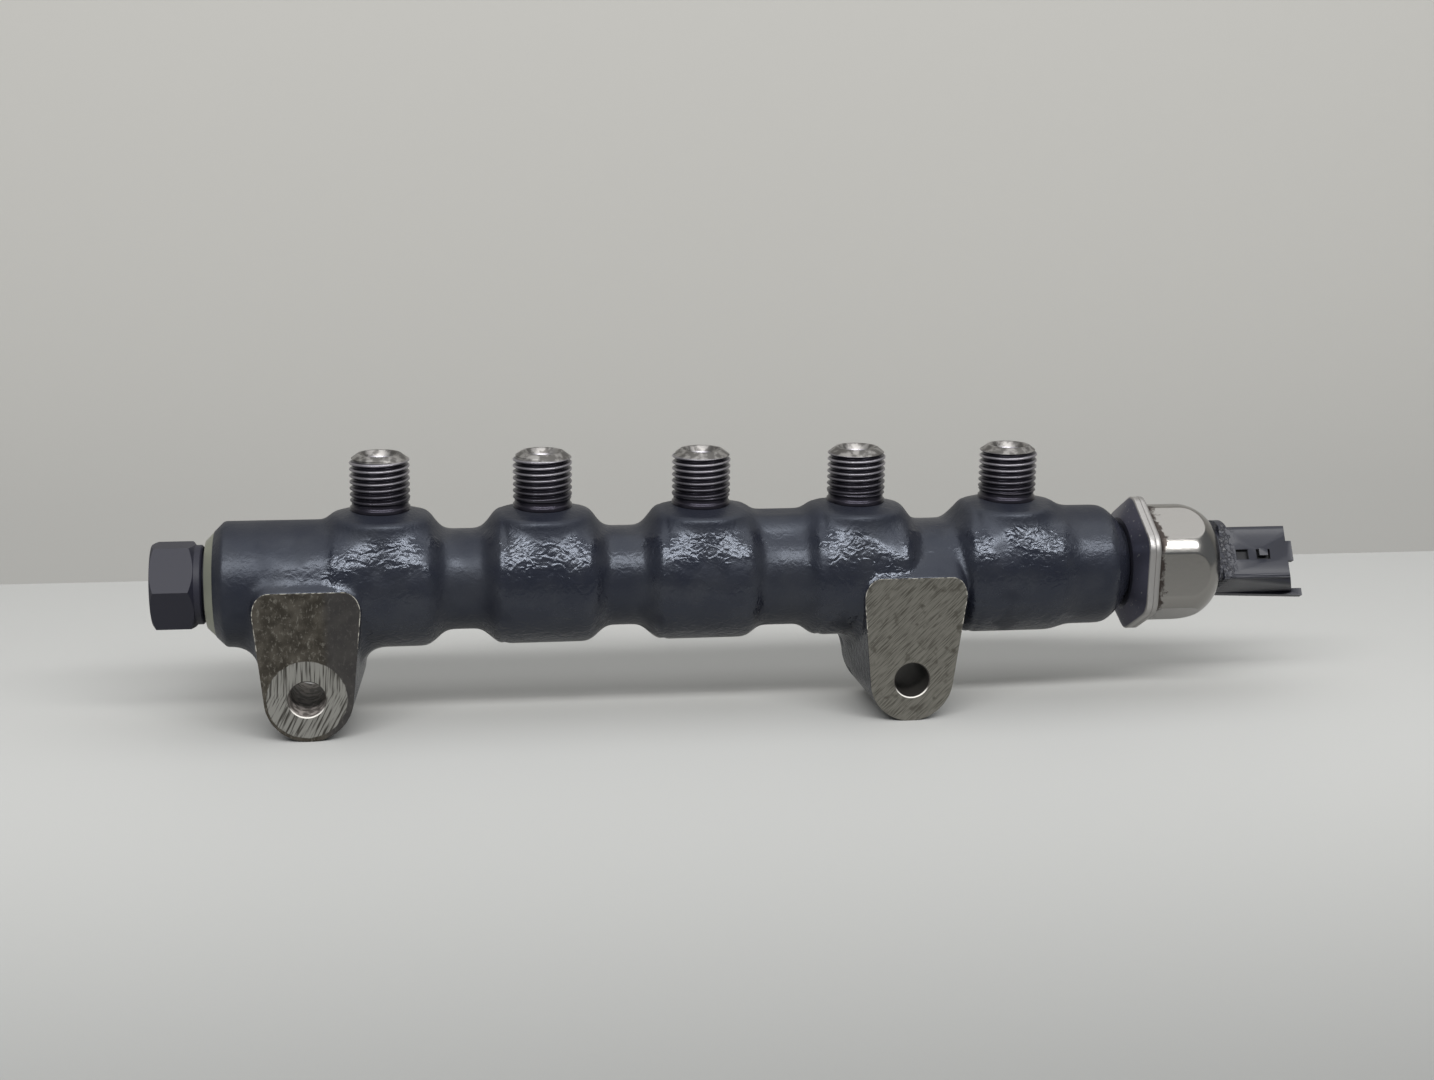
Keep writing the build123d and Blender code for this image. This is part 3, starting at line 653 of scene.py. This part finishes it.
def hexagon_radius(angle, half, corner):
    """Distance from the axis to a hexagon with rounded corners; a flat's middle is at angle 0.

    On a flat it is half / cos(angle), and on a corner it is the far side of the corner's circle.
    """
    off = np.abs((angle + pi / 6) % (pi / 3) - pi / 6)
    centre = (half - corner) / cos(pi / 6)
    turn = pi / 6 - off
    inside_circle = np.maximum(corner**2 - (centre * np.sin(turn)) ** 2, 0)
    arc = centre * np.cos(turn) + np.sqrt(inside_circle)
    return np.where(half * np.tan(off) > (half - corner) * tan(pi / 6), arc, half / np.cos(off))


points = read_points(sensor_base.data.vertices)
along, across, upward = points[:, 0] - right_end, points[:, 1] - axis_y, points[:, 2] - axis_z
radius = np.hypot(across, upward)
edge = hexagon_radius(np.arctan2(upward, across), flange_half, flange_corner)
under = (along > under_start + hair) & (along < flange_face) & (radius > under_radius + hair)
moved = right_end + under_start + under_rise * (radius - under_radius) / (edge - under_radius)
points[:, 0] = np.where(under, moved, points[:, 0])
store_points(sensor_base.data, points)
print("points moved under the flange:", under.sum())

# %% [markdown]
# The pressed shell starts as a hexagon and is drawn in to a round dome.  Its radius at a station s
# and an angle is the smaller of the hexagon's own radius and the dome's arc,
# 4.1 + sqrt(10.5**2 - (s - 15)**2).  Where the two meet, each corner ends in a small crescent.

# %% Sensor shell
shell_half, shell_corner, shell_wall = 13.5, 1.9, 1
shell_start, shell_step, shell_mouth, mouth_radius = 4.6, 5.95, 23.4, 9.8
dome_centre, dome_radius, dome_start = 4.1, 10.5, 15.0
dome_wall, dome_lag = 0.7, 0.3  # the inside's arc is this much smaller and starts this much later
rim_chamfer, step_corner, mouth_round = 0.15, 0.2, 0.2
step_fillet = 0.25  # how far the body still stands out where it leaves the flange
stations_back = [22.6, 21.8, 21.0, 20.0, 19.0, 17.0, 15.0, 8.0]  # down the inside


def dome_radius_at(station, radius, start):
    """Radius of the dome's arc at a station."""
    return dome_centre + np.sqrt(radius**2 - np.clip(station - start, 0, radius - 0.1) ** 2)


def shell_surface(columns=360):
    """Points and quads of the shell: up the outside, over the mouth and back down the inside."""
    angle = (np.arange(columns) + 0.5) * 2 * pi / columns
    flange = hexagon_radius(angle, flange_half, flange_corner)
    body = hexagon_radius(angle, shell_half, shell_corner)
    bore = hexagon_radius(angle, shell_half - shell_wall, shell_corner - shell_wall)
    climb = np.linspace(8, shell_mouth - mouth_round, 60)
    climb = np.concatenate([[shell_step, shell_step + step_corner], climb])
    outer = np.minimum(body, dome_radius_at(climb, dome_radius, dome_start)[:, None])
    outer[0] = body + step_fillet
    back = np.array([shell_mouth - mouth_round] + stations_back + [shell_start])
    inner = dome_radius_at(back, dome_radius - dome_wall, dome_start + dome_lag)[:, None]
    inner = np.maximum(np.minimum(bore, inner), mouth_radius)
    lip = outer[-1] * 0.5 + mouth_radius * 0.5
    rim = [(shell_start, -rim_chamfer), (shell_start + rim_chamfer, 0),
           (shell_step - rim_chamfer, 0), (shell_step, -rim_chamfer)]
    stations = [s for s, grow in rim] + climb.tolist() + [shell_mouth] + back.tolist()
    radii = np.concatenate([[flange + grow for s, grow in rim], outer, [lip], inner])
    s = np.array(stations)[:, None] + radii * 0
    across, upward = radii * np.cos(angle), radii * np.sin(angle)
    points = np.stack([right_end + s, axis_y + across, axis_z + upward], -1)
    return points.reshape(-1, 3), grid_quads(len(stations), columns, close_rows=True)


points, quads = shell_surface()
shell = make_object("shell", points, quads)
shell.data.materials.append(shell_finish)
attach(shell, "root")
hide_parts("sensor_shell")
print("shell quads:", len(quads))

# %% [markdown]
# ## Materials
#
# Every material is made of nodes only.  Noise in object coordinates changes the roughness, the
# colour and the small relief, so a surface never repeats and keeps its place on the piece.  Adding
# and joining nodes takes many lines, so a small class does it, and each finish reads as a recipe.

# %% Material helpers
class Shader:
    """Small helper that adds nodes to a material and joins them."""

    def __init__(self, material, metallic, colour, roughness, **inputs):
        """Set the shader's own sockets; in the names of further inputs _ stands for a space."""
        material.use_nodes = True
        self.tree = material.node_tree
        self.bsdf = self.tree.nodes["Principled BSDF"]
        for name, value in dict(inputs, Metallic=metallic, Roughness=roughness).items():
            self.bsdf.inputs[name.replace("_", " ")].default_value = value
        self.bsdf.inputs["Base Color"].default_value = (*colour, 1)
        self.place = self.node("ShaderNodeTexCoord").outputs["Object"]

    def node(self, kind, **values):
        """New node with some of its settings changed."""
        made = self.tree.nodes.new(kind)
        for name, value in values.items():
            setattr(made, name, value)
        return made

    def join(self, output, socket):
        """Link an output to an input."""
        self.tree.links.new(output, socket)

    def split(self, vector):
        """X, Y and Z of a vector."""
        made = self.node("ShaderNodeSeparateXYZ")
        self.join(vector, made.inputs[0])
        return made.outputs

    def distance(self, vector, point):
        """Distance from a point, seen along Y."""
        flat = self.node("ShaderNodeVectorMath", operation="MULTIPLY")
        self.join(vector, flat.inputs[0])
        flat.inputs[1].default_value = (1, 0, 1)
        apart = self.node("ShaderNodeVectorMath", operation="DISTANCE")
        self.join(flat.outputs[0], apart.inputs[0])
        apart.inputs[1].default_value = point
        return apart.outputs["Value"]

    def noise(self, size, detail=3.0, roughness=0.5, stretch=(1, 1, 1), turn=(0, 0, 0),
              offset=(0, 0, 0), distortion=0.0):
        """Noise whose features are about size millimetres, stretched along axes that may turn."""
        mapping = self.node("ShaderNodeMapping", vector_type="TEXTURE")
        mapping.inputs["Scale"].default_value = [size * MM * s for s in stretch]
        mapping.inputs["Rotation"].default_value = turn
        mapping.inputs["Location"].default_value = offset
        self.join(self.place, mapping.inputs["Vector"])
        noise = self.node("ShaderNodeTexNoise")
        settings = {"Scale": 1, "Detail": detail, "Roughness": roughness, "Distortion": distortion}
        for name, number in settings.items():
            noise.inputs[name].default_value = number
        self.join(mapping.outputs["Vector"], noise.inputs["Vector"])
        return noise.outputs["Fac"]

    def remap(self, value, low, high, to_low=0.0, to_high=1.0):
        """Value taken from the range low..high to to_low..to_high, smoothly and clamped."""
        made = self.node("ShaderNodeMapRange", interpolation_type="SMOOTHSTEP")
        settings = {"From Min": low, "From Max": high, "To Min": to_low, "To Max": to_high}
        for name, number in settings.items():
            made.inputs[name].default_value = number
        self.join(value, made.inputs["Value"])
        return made.outputs["Result"]

    def math(self, operation, a, b):
        """Sum, product or the like of two numbers, each an output or a plain number."""
        made = self.node("ShaderNodeMath", operation=operation)
        for socket, value in zip(made.inputs, (a, b)):
            if isinstance(value, (int, float)):
                socket.default_value = value
            else:
                self.join(value, socket)
        return made.outputs[0]

    def mix(self, factor, a, b):
        """Colour a where factor is 0 and b where it is 1."""
        made = self.node("ShaderNodeMix", data_type="RGBA")
        self.join(factor, made.inputs["Factor"])
        for socket, value in ((made.inputs[6], a), (made.inputs[7], b)):
            if isinstance(value, tuple):
                socket.default_value = (*value, 1)
            else:
                self.join(value, socket)
        return made.outputs[2]

    def colour(self, output):
        """Take the colour from an output."""
        self.join(output, self.bsdf.inputs["Base Color"])

    def roughness(self, output):
        """Take the roughness from an output."""
        self.join(output, self.bsdf.inputs["Roughness"])

    def relief(self, height, depth, before=None):
        """Bump of the given depth in millimetres, on top of an earlier bump."""
        bump = self.node("ShaderNodeBump")
        bump.inputs["Distance"].default_value = depth * MM
        bump.inputs["Strength"].default_value = 1
        self.join(height, bump.inputs["Height"])
        if before is not None:
            self.join(before, bump.inputs["Normal"])
        self.join(bump.outputs["Normal"], self.bsdf.inputs["Normal"])
        return bump.outputs["Normal"]


# %% [markdown]
# The forging keeps its black scale, satin and wrinkled like orange peel.  The wrinkles are strong
# and glossy on the barrels and weaker in the necks, on the bosses and at the left end.  So one
# mask, a cosine that peaks at each port and is made uneven by noise, drives both the height of the
# wrinkles and the roughness.

# %% Forged skin: black, satin, wrinkled like orange peel
skin = Shader(forged_skin, 0.0, (0.014, 0.015, 0.021), 0.36, Specular_Tint=(0.80, 0.87, 1.0, 1))
wrinkle = skin.noise(1.5, detail=1.2, distortion=1.0, stretch=(1.5, 1, 1.3))
grain = skin.noise(0.3, detail=2.0)
tint = skin.noise(9.0, detail=3.0)
along = skin.split(skin.place)[0]
from_port = skin.math("ADD", along, -port_x[0] * MM)
phase = skin.math("MULTIPLY", from_port, 2 * pi / (port_pitch * MM))
wander = skin.math("MULTIPLY", skin.noise(5.0, detail=2.0), 2.0)
uneven = skin.math("ADD", skin.math("COSINE", phase, 0), wander)
on_barrel = skin.remap(uneven, 0.35, 1.15, 0.45, 1.0)
off_left_end = skin.remap(along, -82 * MM, -74 * MM, 0.35, 1.0)
on_barrel = skin.math("MULTIPLY", on_barrel, off_left_end)
height = skin.split(skin.place)[2]
off_bosses = skin.remap(height, (axis_z + 14) * MM, (axis_z + 11) * MM, 0.35, 1.0)
on_barrel = skin.math("MULTIPLY", on_barrel, off_bosses)
patches = skin.remap(skin.noise(14.0, detail=2.0, offset=(2.3, 0.7, 1.1)), 0.34, 0.50, 0.25, 1.0)
patches = skin.math("MULTIPLY", patches, on_barrel)
black, blue_black = (0.008, 0.009, 0.0145), (0.016, 0.017, 0.0215)
skin.colour(skin.mix(skin.remap(tint, 0.35, 0.75), black, blue_black))
skin.roughness(skin.remap(patches, 0.0, 0.8, 0.52, 0.21))
skin.join(skin.remap(patches, 0.0, 0.8, 0.30, 0.47), skin.bsdf.inputs["Specular IOR Level"])
bump = skin.relief(skin.math("MULTIPLY", wrinkle, patches), 0.27)
bump = skin.relief(skin.noise(0.9, detail=3.0), 0.05, bump)
skin.relief(grain, 0.03, bump)
print("nodes of the forged skin:", len(skin.tree.nodes))

# %% [markdown]
# A face mill leaves fine strokes.  Here they are noise stretched along a line, which on the left
# face is nearly upright above the hole and slants below it, and on the right one lies at 45
# degrees.  The left face is brown from old rust, with a bright disc where the bolted joint has kept
# the weather out, and darker to the right of it.  The right face is olive.

# %% Milled lug faces: brown and worn round the left hole, olive with slanted strokes on the right
milled = Shader(milled_steel, 0.75, (0.16, 0.145, 0.12), 0.42)
axes = milled.split(milled.place)
left_hole = milled.distance(milled.place, (bolt_x[0] * MM, 0, 0))
ragged = milled.noise(1.4, detail=2.0)
from_hole = milled.math("ADD", left_hole, milled.math("MULTIPLY", ragged, 0.6 * MM))
worn = milled.remap(from_hole, 9.6 * MM, 9.4 * MM)
upper = milled.noise(0.5, stretch=(1, 1, 18), turn=(0, radians(3), 0), detail=2.0)
lower = milled.noise(0.5, stretch=(1, 1, 14), turn=(0, radians(27), 0), detail=2.0)
upright = milled.mix(milled.remap(axes[2], -1 * MM, 3 * MM), lower, upper)
slanted = milled.noise(0.28, stretch=(1, 1, 16), turn=(0, radians(45), 0), detail=4.0)
blotch = milled.noise(3.0, detail=4.0)
from_left = milled.math("ADD", axes[0], milled.math("MULTIPLY", blotch, 2 * MM))
strip = milled.remap(from_left, -67.5 * MM, -64.5 * MM)
flecks = milled.noise(0.8, detail=4.0, roughness=0.7, stretch=(1, 1, 1.6))
flecks = milled.remap(flecks, 0.52, 0.66)
shade = milled.mix(milled.remap(blotch, 0.35, 0.70), (0.038, 0.033, 0.026), (0.085, 0.076, 0.062))
brown = milled.mix(flecks, shade, (0.15, 0.14, 0.12))
brown = milled.mix(milled.math("MULTIPLY", strip, 0.75), brown, (0.045, 0.043, 0.044))
bright = milled.mix(milled.remap(upright, 0.36, 0.56), (0.05, 0.046, 0.04), (0.25, 0.245, 0.225))
left_face = milled.mix(worn, brown, bright)
olive = milled.remap(slanted, 0.34, 0.56)
olive = milled.mix(olive, (0.075, 0.070, 0.059), (0.17, 0.163, 0.142))
right_face = milled.mix(milled.remap(blotch, 0.56, 0.70), olive, (0.075, 0.070, 0.058))
is_right = milled.remap(axes[0], -1 * MM, 1 * MM)
milled.colour(milled.mix(is_right, left_face, right_face))
milled.relief(milled.mix(is_right, upright, slanted), 0.03)
print("nodes of the milled faces:", len(milled.tree.nodes))

# %% [markdown]
# The other cut surfaces need less.  The milled faces' edge is painted bright in bits, a painted
# highlight.  In the bolt holes the lower side of each chamfer is painted bright, a painted
# highlight, and the upper side dark, a painted shade.  The left hole's wall is painted a lighter
# mottled grey-brown, painted light, and the right hole's wall near black, painted shade.  The
# turned ring carries fine lines round the axis, made by noise stretched along Y and Z, so that it
# changes only along the rail.

# %% Cut edges, bolt holes, turned ends and gallery
# painted highlight: the milled faces' lit edge is painted bright in bits, dark between
edge_highlight_look = Shader(edge_highlight, 0.4, (0.34, 0.32, 0.28), 0.45)
bits = edge_highlight_look.remap(edge_highlight_look.noise(1.2, detail=2.0), 0.40, 0.60)
edge_highlight_look.colour(edge_highlight_look.mix(bits, (0.06, 0.055, 0.048), (0.42, 0.40, 0.35)))
bolt_look = Shader(bolt_bore, 0.2, (0.3, 0.25, 0.2), 0.6)
x, depth, height = bolt_look.split(bolt_look.place)
chamfer = bolt_look.remap(depth, 0.28 * MM, 0.22 * MM)
# painted light: the left bore's wall is lightened, with a mottle
bore_light_mottle = bolt_look.remap(bolt_look.noise(1.6, detail=4.0), 0.42, 0.62)
inside = bolt_look.mix(bore_light_mottle, (0.09, 0.08, 0.072), (0.34, 0.31, 0.29))
# painted shade: the right bore is near black inside
inside = bolt_look.mix(bolt_look.remap(x, -1 * MM, 1 * MM), inside, (0.02, 0.018, 0.016))
# painted highlight below and painted shade above on each hole's chamfer
lit_below = bolt_look.remap(height, -3 * MM, -1.5 * MM)
lit_below = bolt_look.mix(lit_below, (0.6, 0.58, 0.54), (0.05, 0.045, 0.04))
bolt_look.colour(bolt_look.mix(chamfer, inside, lit_below))
bolt_look.relief(bolt_look.noise(0.5), 0.01)
turned_look = Shader(turned_steel, 0.6, (0.23, 0.235, 0.19), 0.42)
turned_look.relief(turned_look.noise(0.4, stretch=(1, 40, 40)), 0.01)
bore_look = Shader(bore_steel, 0.7, (0.09, 0.08, 0.065), 0.5)
bore_look.relief(bore_look.noise(0.8), 0.02)
print("nodes of the bolt holes:", len(bolt_look.tree.nodes))

# %% [markdown]
# The threads are painted near black in their grooves, a painted shade, and bright on their crests,
# a painted highlight.  Each point of a spigot stores how deep in the groove it lies, and an
# Attribute node reads that number, so the painted highlight follows the helix exactly.  The painted
# highlight grows stronger upwards, and the top chamfer is bare steel.

# %% Threads
thread_look = Shader(thread_steel, 0.8, (0.05, 0.047, 0.055), 0.30)
up = thread_look.split(thread_look.place)[2]
groove = thread_look.node("ShaderNodeAttribute", attribute_name="groove").outputs["Fac"]
# painted highlight on the crests and painted shade in the grooves, stronger upwards
crest = thread_look.remap(groove, 0.6, 0.12)
crest_highlight_rise = thread_look.remap(up, (axis_z + 20) * MM, (axis_z + 28) * MM, 0.10, 1.0)
crest = thread_look.math("MULTIPLY", crest, crest_highlight_rise)
bare_from, bare_to = (axis_z + spigot_top - 1.5) * MM, (axis_z + spigot_top - 1.1) * MM
bare = thread_look.remap(up, bare_from, bare_to)
thread_colour = thread_look.mix(crest, (0.022, 0.020, 0.028), (0.24, 0.23, 0.25))
soot = thread_look.remap(thread_look.noise(2.0, detail=4.0), 0.42, 0.60)
bare_colour = thread_look.mix(soot, (0.09, 0.085, 0.08), (0.24, 0.23, 0.22))
thread_look.colour(thread_look.mix(bare, thread_colour, bare_colour))
thread_look.roughness(thread_look.remap(bare, 0, 1, 0.30, 0.42))
thread_look.relief(thread_look.noise(0.5), 0.01)
print("nodes of the threads:", len(thread_look.tree.nodes))

# %% [markdown]
# The plug has a dull blackened finish.  The sensor's flange and shell are steel.  The flange's
# underside is dark with a few specks of dust, and its rim is bare.  Dirt has settled on the shell
# beside the flange, up to a ragged line, which is a distance along the rail less some noise.

# %% Plug, sensor port and shell
plug_look = Shader(plug_finish, 0.0, (0.012, 0.012, 0.020), 0.55, Specular_IOR_Level=0.30)
plug_look.relief(plug_look.noise(0.7), 0.02)
rim_start = right_end + under_start + under_rise
rim_colour = (0.33, 0.32, 0.31)
port_look = Shader(port_finish, 0.85, (0.12, 0.11, 0.1), 0.42)
station = port_look.split(port_look.place)[0]
rim = port_look.remap(station, (rim_start - 0.3) * MM, (rim_start - 0.1) * MM)
dust = port_look.remap(port_look.noise(0.7, detail=4.0), 0.66, 0.70)
underside = port_look.mix(dust, (0.072, 0.072, 0.100), (0.22, 0.22, 0.23))
port_look.colour(port_look.mix(rim, underside, rim_colour))
port_look.relief(port_look.noise(0.9), 0.02)
shell_look = Shader(shell_finish, 1.0, (0.27, 0.26, 0.25), 0.25)
ragged = shell_look.noise(2.0, detail=5.0, roughness=0.65)
station = shell_look.split(shell_look.place)[0]
dirty_to = shell_look.math("ADD", station, shell_look.math("MULTIPLY", ragged, -7 * MM))
dirt = shell_look.remap(dirty_to, (right_end + 4.8) * MM, (right_end + 3.6) * MM)
station = shell_look.split(shell_look.place)[0]
rim = shell_look.remap(station, (right_end + 6.3) * MM, (right_end + 6.1) * MM)
body = shell_look.mix(dirt, (0.255, 0.246, 0.232), (0.06, 0.05, 0.045))
shell_look.colour(shell_look.mix(rim, body, rim_colour))
shell_look.roughness(shell_look.remap(dirt, 0, 1, 0.20, 0.5))
shell_look.relief(shell_look.noise(1.2), 0.02)
print("nodes of the shell:", len(shell_look.tree.nodes))

# %% [markdown]
# The connector is black moulded plastic.  Dried crumbs of dirt stick to its round base and thin
# out towards its mouth, so their mask is a noise times a ramp along the rail.

# %% Connector
pocket_look = Shader(pocket_shade, 0.0, (0.004, 0.004, 0.006), 0.7)
pocket_look.relief(pocket_look.noise(0.6), 0.02)
plastic_look = Shader(plastic_finish, 0.0, (0.022, 0.022, 0.028), 0.45, Specular_IOR_Level=0.44)
crumbs = plastic_look.remap(plastic_look.noise(1.3, detail=5.0, roughness=0.7), 0.50, 0.62)
station = plastic_look.split(plastic_look.place)[0]
near_shell = plastic_look.remap(station, (right_end + 29.5) * MM, (right_end + 25) * MM)
crumbs = plastic_look.math("MULTIPLY", crumbs, near_shell)
plastic_look.colour(plastic_look.mix(crumbs, (0.011, 0.012, 0.019), (0.065, 0.065, 0.07)))
bump = plastic_look.relief(crumbs, 0.25)
plastic_look.relief(plastic_look.noise(0.6), 0.02, bump)
print("nodes of the plastic:", len(plastic_look.tree.nodes))

# %% [markdown]
# The sensor's inside is hidden, but it is there.  Its CAD nodes are right as they are, so they keep
# their shapes and only take a finish with a little relief.

# %% Inner pieces keep their CAD nodes and take plain finishes
springs = ["board_spring_1", "board_spring_2", "board_spring_3"]
inner_finishes = {
    "cell_steel": ("cell_look", 0.9, (0.5, 0.49, 0.47), 0.35, ["measuring_cell"]),
    "ring_plastic": ("ring_look", 0.0, (0.05, 0.05, 0.05), 0.5, ["support_ring"]),
    "board": ("board_look", 0.0, (0.02, 0.13, 0.05), 0.45, ["circuit_board"]),
    "chip": ("chip_look", 0.0, (0.012, 0.012, 0.012), 0.4, ["signal_chip"]),
    "seal_rubber": ("seal_look", 0.0, (0.01, 0.01, 0.01), 0.7, ["shell_seal"]),
    "contact": ("contact_look", 1.0, (0.75, 0.72, 0.66), 0.3,
                ["terminal_1", "terminal_2", "terminal_3"] + springs),
}
for slot, (name, metallic, colour, roughness, members) in inner_finishes.items():
    [made] = new_finishes(name)
    look = Shader(made, metallic, colour, roughness)
    look.relief(look.noise(0.8), 0.01)
    for node in members:
        nodes[node].data.materials.clear()
        nodes[node].data.materials.append(made)
print("materials:", len(bpy.data.materials))

# %% [markdown]
# ## Table, wall, light and camera
#
# The rail lies on a pale table with a pale wall behind it.  The table's colour is painted darker
# towards the front, a painted shade.  The wall is one-sided: seen from its back it is clear, so
# that it never hides the rail.  A long soft light hangs in front and a wide one over the whole
# table.
# The camera looks slightly down from the front left.

# %% Table and wall
floor_z = cad_bounds[0][2] / MM
table = block("table", (-1500, -900, floor_z - 20), (1500, 152.0, floor_z))
half, back, low, high = 1800, 260, -700, 620
wall_corners = [(-half, back, low), (half, back, low), (half, back, high), (-half, back, high)]
wall = make_object("wall", wall_corners, [(0, 1, 2, 3)], smooth=False)
table_paint, wall_paint = new_finishes("table_paint", "wall_paint")
look = Shader(table_paint, 0.0, (0.40, 0.41, 0.39), 0.6)
# painted shade: the table's front is painted darker
front_shade_mask = look.remap(look.split(look.place)[1], 0.0, -300 * MM)
look.colour(look.mix(front_shade_mask, (0.37, 0.37, 0.36), (0.100, 0.102, 0.098)))
table.data.materials.append(table_paint)
look = Shader(wall_paint, 0.0, (0.41, 0.40, 0.375), 0.7)
clear = look.node("ShaderNodeBsdfTransparent")
either = look.node("ShaderNodeMixShader")
look.join(look.node("ShaderNodeNewGeometry").outputs["Backfacing"], either.inputs[0])
look.join(look.bsdf.outputs[0], either.inputs[1])
look.join(clear.outputs[0], either.inputs[2])
look.join(either.outputs[0], look.tree.nodes["Material Output"].inputs["Surface"])
wall.data.materials.append(wall_paint)
print("floor at", round(floor_z, 2), "mm")


# %% Lights
def soft_light(name, place, size, power, target):
    """Rectangular light at place, facing target, all in millimetres; power in watts."""
    data = bpy.data.lights.new(name, "AREA")
    data.shape, data.size, data.size_y = "RECTANGLE", size[0] * MM, size[1] * MM
    data.energy = power
    lamp = bpy.data.objects.new(name, data)
    away = Vector(place) * MM - Vector(target) * MM
    turned = away.to_track_quat("Z", "Y").to_matrix().to_4x4()
    lamp.matrix_world = Matrix.Translation(Vector(place) * MM) @ turned
    bpy.context.scene.collection.objects.link(lamp)


soft_light("window", (16, -620, 720), (1500, 130), 15, target=(16, 16, 20))
soft_light("ceiling", (250, 150, 1300), (2200, 1350), 14, target=(250, 150, 0))
world = bpy.data.worlds.new("room")
world.use_nodes = True
sky = world.node_tree.nodes["Background"].inputs
sky["Color"].default_value, sky["Strength"].default_value = (0.9, 0.95, 1.0, 1), 0.3
bpy.context.scene.world = world
print("lights:", len(bpy.data.lights))

# %% [markdown]
# The camera's place and its three angles are written out.  The rows of a turning matrix are the
# camera's right, down and forward directions, and Blender wants right, up and back as columns.

# %% Camera
eye = (-47.309, -448.135, 145.201)
tilt, turn, roll = 0.2365, -0.1565, 0.0157
level = Matrix(((1, 0, 0), (0, 0, -1), (0, 1, 0)))
facing = Matrix.Rotation(roll, 3, "Z") @ Matrix.Rotation(tilt, 3, "X")
facing = facing @ Matrix.Rotation(turn, 3, "Y") @ level
turned = Matrix((facing[0], -facing[1], -facing[2])).transposed().to_4x4()
lens = bpy.data.cameras.new("camera")
lens.lens, lens.sensor_width, lens.clip_end = 50.21, 36.0, 20.0
camera = bpy.data.objects.new("camera", lens)
camera.matrix_world = Matrix.Translation(Vector(eye) * MM) @ turned
bpy.context.scene.collection.objects.link(camera)
bpy.context.scene.camera = camera
bpy.context.scene.view_settings.view_transform = "Standard"
print("camera at", eye)
